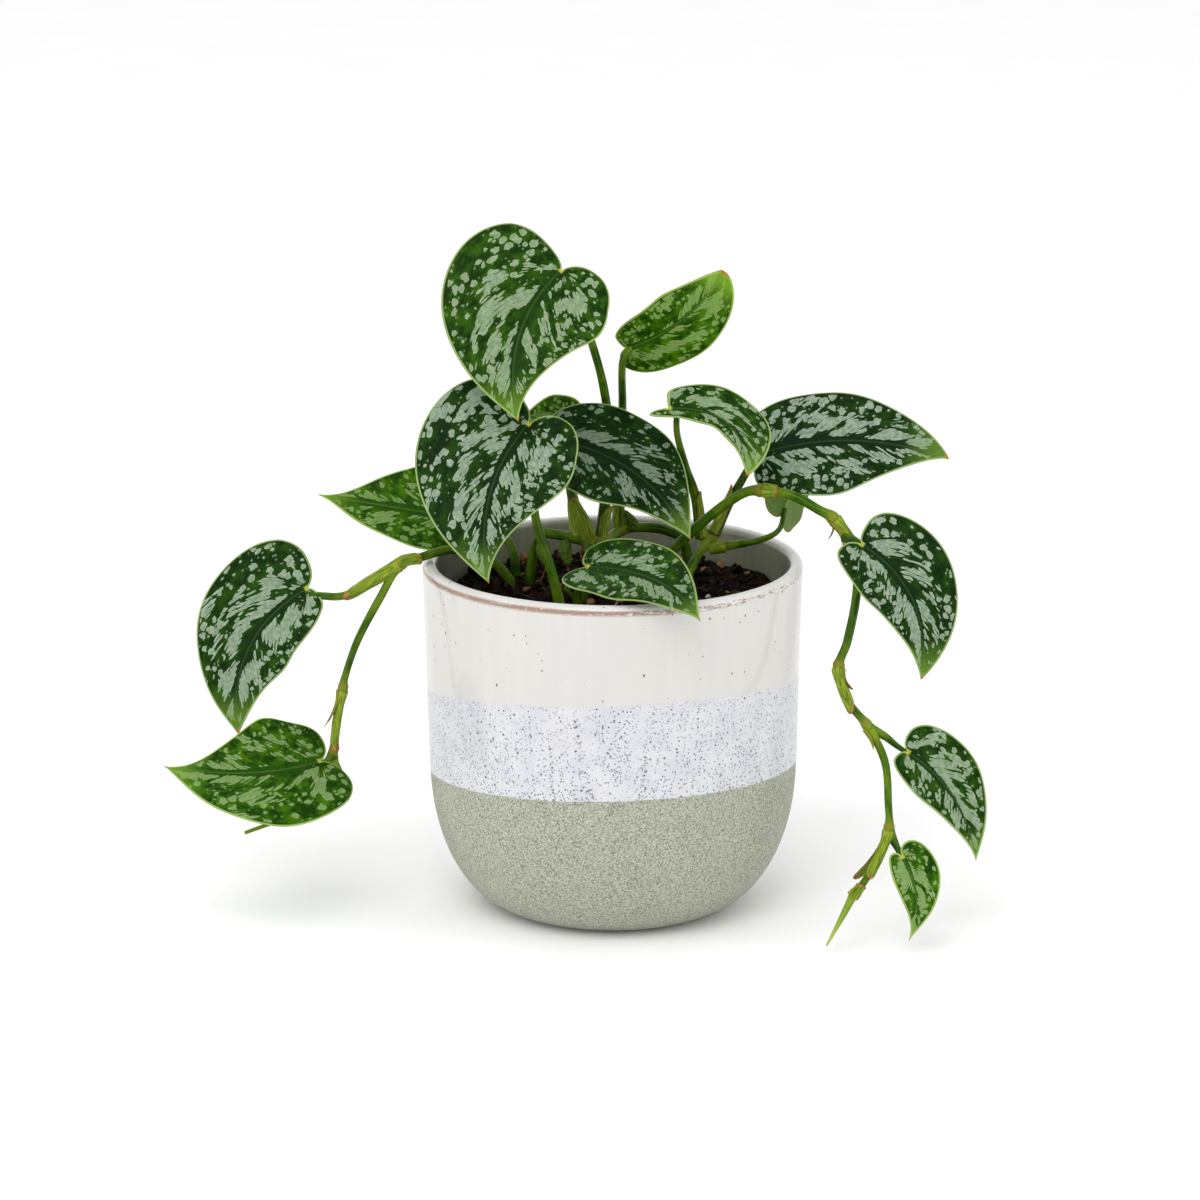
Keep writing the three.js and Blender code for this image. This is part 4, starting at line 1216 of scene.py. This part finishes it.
# %% Pot profile
pot_height = 112
lip_radius = 60
waist_radius = 58.5
foot_radius = 31
waist_height = 47
wall = 4.6
floor_height = 6
floor_radius = 28
foot_hollow = 0.8
corner_fullness = 2.05
pot_sectors = 192
finer_margin = 0.3
throwing_depth = 0.1
tilt_radius = 59
edge_softness = 0.5
white_edge = dict(level=73, towards_front=7.5, towards_right=2, coat=0.16)
stone_edge = dict(level=45.5, towards_front=4.5, towards_right=1.5, coat=0.14)


def full_corner(inner, outer, bottom, top, fullness, steps):
    """A rounded corner from the flat foot up to the wall: both distances follow powers of a sine
    and a cosine, which is a quarter circle for fullness 2 and squarer above that."""
    turn = np.linspace(math.pi / 2, 0, steps)
    power = 2 / fullness
    return np.column_stack([inner + (outer - inner) * np.abs(np.cos(turn)) ** power,
                            top - (top - bottom) * np.sin(turn) ** power])


def straight(start, end, steps):
    """Even steps from one point to another, without the two ends."""
    return np.linspace(start, end, steps + 2)[1:-1]


def above_edge(points, edge):
    """How far a point of the wall is above a dip edge, which is a plane that leans a little."""
    lean = edge["towards_front"] * points[:, 1] - edge["towards_right"] * points[:, 0]
    return points[:, 2] + lean / tilt_radius - edge["level"]


def coat(points, edge):
    """Thickness of the glaze that starts at a dip edge."""
    return edge["coat"] * smooth_step(above_edge(points, edge), -edge_softness, edge_softness)


foot_ring = [(8, foot_hollow), (16, foot_hollow), (24, foot_hollow), (24.8, 0), (28, 0)]
lip_turn = np.linspace(0, math.pi, 17)[:, None]
lip_centre = np.array([lip_radius - wall / 2, pot_height - wall / 2])
lip = lip_centre + wall / 2 * np.hstack([np.cos(lip_turn), np.sin(lip_turn)])
outer_corner = full_corner(foot_radius, waist_radius, 0, waist_height, corner_fullness, 44)
inner_corner = full_corner(floor_radius, waist_radius - wall, floor_height, waist_height, 2, 20)
outer_wall = straight(outer_corner[-1], lip[0], 58)
inner_wall = straight(lip[-1], inner_corner[-1], 24)
inner_floor = [(20, floor_height), (10, floor_height)]
profile = np.vstack([foot_ring, outer_corner, outer_wall, lip, inner_wall, inner_corner[::-1],
                     inner_floor])
rings = len(profile)
pot_points = turned(profile, pot_sectors)
pot_turn = np.tile(np.linspace(0, 2 * math.pi, pot_sectors, endpoint=False), rings)
outside_rings = len(foot_ring) + len(outer_corner) + len(outer_wall) + len(lip) // 2
outside = np.repeat(np.arange(rings) < outside_rings, pot_sectors)
glaze = coat(pot_points, stone_edge) + coat(pot_points, white_edge)
throwing = throwing_depth * np.sin(3 * pot_turn + 0.05 * pot_points[:, 2])
outwards = outside * (glaze + throwing - finer_margin)
pot_points[:, :2] *= (1 + outwards / np.repeat(profile[:, 0], pot_sectors))[:, None]
pot_points = np.vstack([pot_points, (0, 0, foot_hollow), (0, 0, floor_height)])
pot_faces = closed_rings(rings, pot_sectors)
print("pot profile points:", rings)

# %% [markdown]
# ## Clay and two glazes
# The foot is bare stoneware, grey-green and sandy. A pale blue-grey glaze full of dark specks comes
# next, and a warm white one with a few brown specks covers the top, the lip and the inside. On the
# lip's outer shoulder the glaze runs thin and the brown clay shows. On the inner wall the white is
# painted a darker olive grey, as painted shade.

# %% Pot finish
clay_roughness = 0.86
blue_roughness = 0.3
white_roughness = 0.14


def above_edge_nodes(f, place, edge, wobble):
    """The same leaning plane as above_edge, in nodes, with a slightly uneven line."""
    lean = (-edge["towards_right"] / tilt_radius, edge["towards_front"] / tilt_radius, 1)
    height = f.less(f.along(place, lean), edge["level"])
    return f.sum(height, f.times(f.less(f.cloud(place, 0.12, 3), 0.5), wobble))


def specks(f, place, size, luck_needed, reach):
    """Round specks: one may sit in each cell of a loose grid, where the cell's luck is enough."""
    grid = f.stretch(place, (1 / size,) * 3)
    luck = f.part(f.cells(grid, "Color", space="3D"), "Y")
    near = f.ease(f.cells(grid, "Distance", space="3D"), reach, reach * 0.7)
    return f.times(near, f.ease(luck, luck_needed, luck_needed + 0.02))


def sandy_stoneware(f, place, grains):
    """Grey-green clay with pale and dark sand."""
    sand = f.blend(f.ease(grains, 0.36, 0.64), tint(104, 107, 90), tint(212, 214, 198))
    sand = f.wash(sand, specks(f, place, size=1.0, luck_needed=0.45, reach=0.34), 0.75,
                  tint(92, 95, 80))
    return f.wash(sand, f.cloud(place, 0.06, 3), 0.25, tint(150, 150, 128))


def speckled_blue(f, place):
    """Pale blue-grey with fine specks, which grow stronger towards its lower edge, and a few
    larger ones in two colours."""
    clouds = f.cloud(place, 0.16, 4, 0.6)
    blue = f.blend(f.ease(clouds, 0.35, 0.65), tint(198, 198, 204), tint(208, 208, 212))
    blue = f.wash(blue, f.ease(f.cloud(place, 0.09, 3), 0.52, 0.7), 0.5, tint(192, 199, 204))
    strength = f.ease(above_edge_nodes(f, place, white_edge, 8), 0, -30, 0.5, 0.95)
    fine = specks(f, place, size=0.8, luck_needed=0.42, reach=0.4)
    blue = f.wash(blue, fine, strength, tint(100, 112, 120))
    dark = specks(f, place, size=1.15, luck_needed=0.68, reach=0.28)
    blue = f.blend(dark, blue, tint(58, 66, 70))
    brown = specks(f, place, size=2.4, luck_needed=0.86, reach=0.2)
    return f.blend(brown, blue, tint(120, 96, 82))


def worn_shoulder(f, place, radius):
    """Where the clay shows: in patches on the lip's outer shoulder, with more of them on the front
    left."""
    height = f.part(place, "Z")
    on_height = f.times(f.ease(height, pot_height - 3.4, pot_height - 2.2),
                        f.ease(height, pot_height - 0.9, pot_height - 1.7))
    shoulder = f.times(on_height, f.ease(radius, lip_radius - 1.6, lip_radius - 0.9))
    worn = f.cloud(f.stretch(place, (1, 1, 3)), 0.5, 5, 0.7)
    needed = f.ease(f.along(place, (-0.85, -0.5, 0)), -30, 50, 0.52, 0.36)
    return f.times(shoulder, f.ease(f.less(worn, needed), -0.02, 0.08))


def warm_white(f, place):
    """Cream with faint runs and a few brown specks, and thin on the shoulder. The inner wall is a
    darker olive grey: painted shade, for the shade that falls within the pot.
    """
    runs = f.cloud(f.stretch(place, (0.35, 0.35, 0.03)), 1.0, 3)
    cream = f.blend(f.ease(runs, 0.35, 0.65), tint(204, 202, 198), tint(206, 204, 200))
    cream = f.wash(cream, f.cloud(place, 0.05, 2), 0.25, tint(199, 197, 194))
    upright = f.stretch(place, (1, 1, 0.6))
    rust = f.larger(specks(f, upright, size=2.9, luck_needed=0.62, reach=0.13),
                    specks(f, upright, size=1.9, luck_needed=0.82, reach=0.14))
    cream = f.blend(rust, cream, tint(132, 92, 70))
    radius = f.length_of(f.stretch(place, (1, 1, 0)))
    cream = f.wash(cream, worn_shoulder(f, place, radius), 0.85, tint(138, 102, 80))
    # Painted shade: the inner wall and the inner side of the lip are blended towards an olive grey,
    # darker than the white glaze, for the shade within the pot.
    inside_shade = f.ease(radius, lip_radius - 3.0, lip_radius - 4.4)
    return f.blend(inside_shade, cream, f.blend(runs, tint(122, 124, 104), tint(150, 152, 134)))


def grey(value):
    """A plain number in the form of a colour, so that it can be blended."""
    return (value, value, value, 1)


def banded_glaze_finish():
    """Bare clay, the blue-grey glaze and the white one, from the foot up."""
    f = Finish("banded_glaze")
    place = f.place()
    white = f.ease(above_edge_nodes(f, place, white_edge, 1.4), -0.12, 0.12)
    glazed = f.ease(above_edge_nodes(f, place, stone_edge, 0.5), -0.1, 0.1)
    grains = f.cloud(place, 1.9, 5, 0.85)
    below = f.blend(glazed, sandy_stoneware(f, place, grains), speckled_blue(f, place))
    colour = f.blend(white, below, warm_white(f, place))
    fine = f.cloud(place, 0.7, 2)
    rough = f.blend(white, f.blend(glazed, grey(clay_roughness), grey(blue_roughness)),
                    grey(white_roughness))
    rough = f.sum(rough, f.times(f.less(fine, 0.5), 0.08))
    pitted = f.sum(f.times(grains, f.less(1.0, glazed)), f.times(fine, 0.12))
    return f.done(Base_Color=colour, Roughness=rough, Normal=f.relief(pitted, 0.3),
                  Specular_IOR_Level=0.5)


pot = make_piece("turned_pot", pot_points, pot_faces, [banded_glaze_finish()])
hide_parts("pot")
print("pot faces:", len(pot.data.polygons))

# %% [markdown]
# ## Potting mix
# A loose mix for such plants is mostly bark, so the surface is a heap of chips. A closed bed fills
# the pot, and fifteen hundred small blocks lie on it. All of the chips are made from one rounded
# block, each with its own size, dents and turn, and each keeps a number for its colour.

# %% Bed and chips
soil_level = 101
soil_radius = 54.2
bed_margin = 0.3
bed_drop = 1.4
bed_wave_height = 0.7
bed_sectors = 96
bed_top_rings = 39
chip_count = 1500
chip_rows = 4
chip_columns = 6
chip_squareness = 0.55
chip_lengths = (0.9, 3.0)
chip_widths = (0.45, 0.9)
chip_heights = (0.3, 0.6)
chip_dents = (0.72, 1.12)
chip_rise = (-0.4, 1.8)
chip_edge_gap = 2.6


def bed_relief(x, y):
    """Height of the bed under a point: a little below the mix's level, with a few slow waves that
    cross each other."""
    waves = ((0.21, 0.08, 0.9), (-0.13, 0.24, 0.8), (0.35, -0.31, 0.5), (0.6, 0.5, 0.3))
    slopes = sum(size * np.sin(a * x + b * y + 9 * size) for a, b, size in waves)
    return soil_level - bed_drop + bed_wave_height * slopes


bed_bottom = floor_height + bed_margin
side_profile = full_corner(floor_radius - bed_margin, waist_radius - wall - bed_margin, bed_bottom,
                           waist_height, 2, 12)
top_radii = soil_radius * np.linspace(1, 0, bed_top_rings + 1)[:-1]
top_profile = np.column_stack([top_radii, 0 * top_radii])
bed_points = turned(np.vstack([side_profile, top_profile]), bed_sectors)
on_top = bed_points[len(side_profile) * bed_sectors:]
on_top[:, 2] = bed_relief(on_top[:, 0], on_top[:, 1])
bed_points = np.vstack([bed_points, (0, 0, bed_bottom), (0, 0, bed_relief(0, 0))])
bed_faces = closed_rings(len(side_profile) + bed_top_rings, bed_sectors)


def bark_finish(name, mixed):
    """Dark bark. Where the chips carry a number, the few highest are tan wood and pale perlite."""
    f = Finish(name)
    place = f.place()
    grain = f.cloud(f.stretch(place, (1.2, 1.2, 2.4)), 1.0, 5, 0.7)
    bark = f.blend(f.ease(grain, 0.3, 0.7), tint(7, 4, 2), tint(32, 21, 12))
    if mixed:
        luck = f.layer("luck")
        for low, high, dark, light in (
                (0.6, 0.9, tint(20, 12, 6), tint(66, 44, 24)),
                (0.93, 0.94, tint(92, 62, 34), tint(168, 130, 84)),
                (0.982, 0.984, tint(190, 180, 162), tint(232, 226, 214))):
            bark = f.blend(f.ease(luck, low, high), bark, f.blend(grain, dark, light))
    return f.done(Base_Color=bark, Roughness=f.ease(grain, 0.3, 0.7, 0.6, 0.9),
                  Normal=f.relief(grain, 0.5), Specular_IOR_Level=0.06)


bed = make_piece("mix_bed", bed_points, bed_faces, [bark_finish("bark_bed", False)])
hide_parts("potting_mix")


def rounded_block():
    """Points and faces of a unit block: a sphere whose points are pushed out towards a cube."""
    polar = np.linspace(0, math.pi, chip_rows + 2)[1:-1]
    ball = turned(np.column_stack([np.sin(polar), np.cos(polar)]), chip_columns)
    ball = np.vstack([ball, (0, 0, 1), (0, 0, -1)])
    faces = [corners[:, ::-1] for corners in closed_rings(chip_rows, chip_columns)]
    return np.sign(ball) * np.abs(ball) ** chip_squareness, faces


def spun(shapes, spins):
    """Shapes turned about the three axes, one axis after the other, each shape by its own angles."""
    for axis in range(3):
        cosine, sine = np.cos(spins[:, axis, None]), np.sin(spins[:, axis, None])
        a, b = [k for k in range(3) if k != axis]
        turned_shapes = shapes.copy()
        turned_shapes[..., a] = cosine * shapes[..., a] - sine * shapes[..., b]
        turned_shapes[..., b] = sine * shapes[..., a] + cosine * shapes[..., b]
        shapes = turned_shapes
    return shapes


def scatter_chips(count, seed):
    """Blocks laid on the bed. All of them are stretched, dented at random and turned at once."""
    random = np.random.default_rng(seed)
    block, block_faces = rounded_block()
    length = random.uniform(*chip_lengths, count) * random.uniform(0.7, 1.15, count)
    sizes = length[:, None] * np.column_stack([np.ones(count), random.uniform(*chip_widths, count),
                                               random.uniform(*chip_heights, count)])
    dents = random.uniform(*chip_dents, (count, len(block), 1))
    shapes = block[None] * sizes[:, None] * dents
    shapes = spun(shapes, random.uniform(-0.8, 0.8, (count, 3)) * (1, 1, 4))
    reach = (soil_radius - chip_edge_gap) * np.sqrt(random.uniform(0, 1, count))
    way = random.uniform(0, 2 * math.pi, count)
    x, y = reach * np.cos(way), reach * np.sin(way)
    level = bed_relief(x, y) + random.uniform(*chip_rise, count)
    points = shapes + np.column_stack([x, y, level])[:, None]
    first = len(block) * np.arange(count)[:, None, None]
    faces = [(corners + first).reshape(-1, corners.shape[1]) for corners in block_faces]
    luck = np.repeat(random.uniform(0, 1, count), len(block))
    return points.reshape(-1, 3), faces, {"luck": luck}


chip_points, chip_faces, chip_layers = scatter_chips(chip_count, 5)
chips = make_piece("bark_chips", chip_points, chip_faces, [bark_finish("bark_chip", True)],
                   chip_layers, flat=True)
print("chip faces:", len(chips.data.polygons))
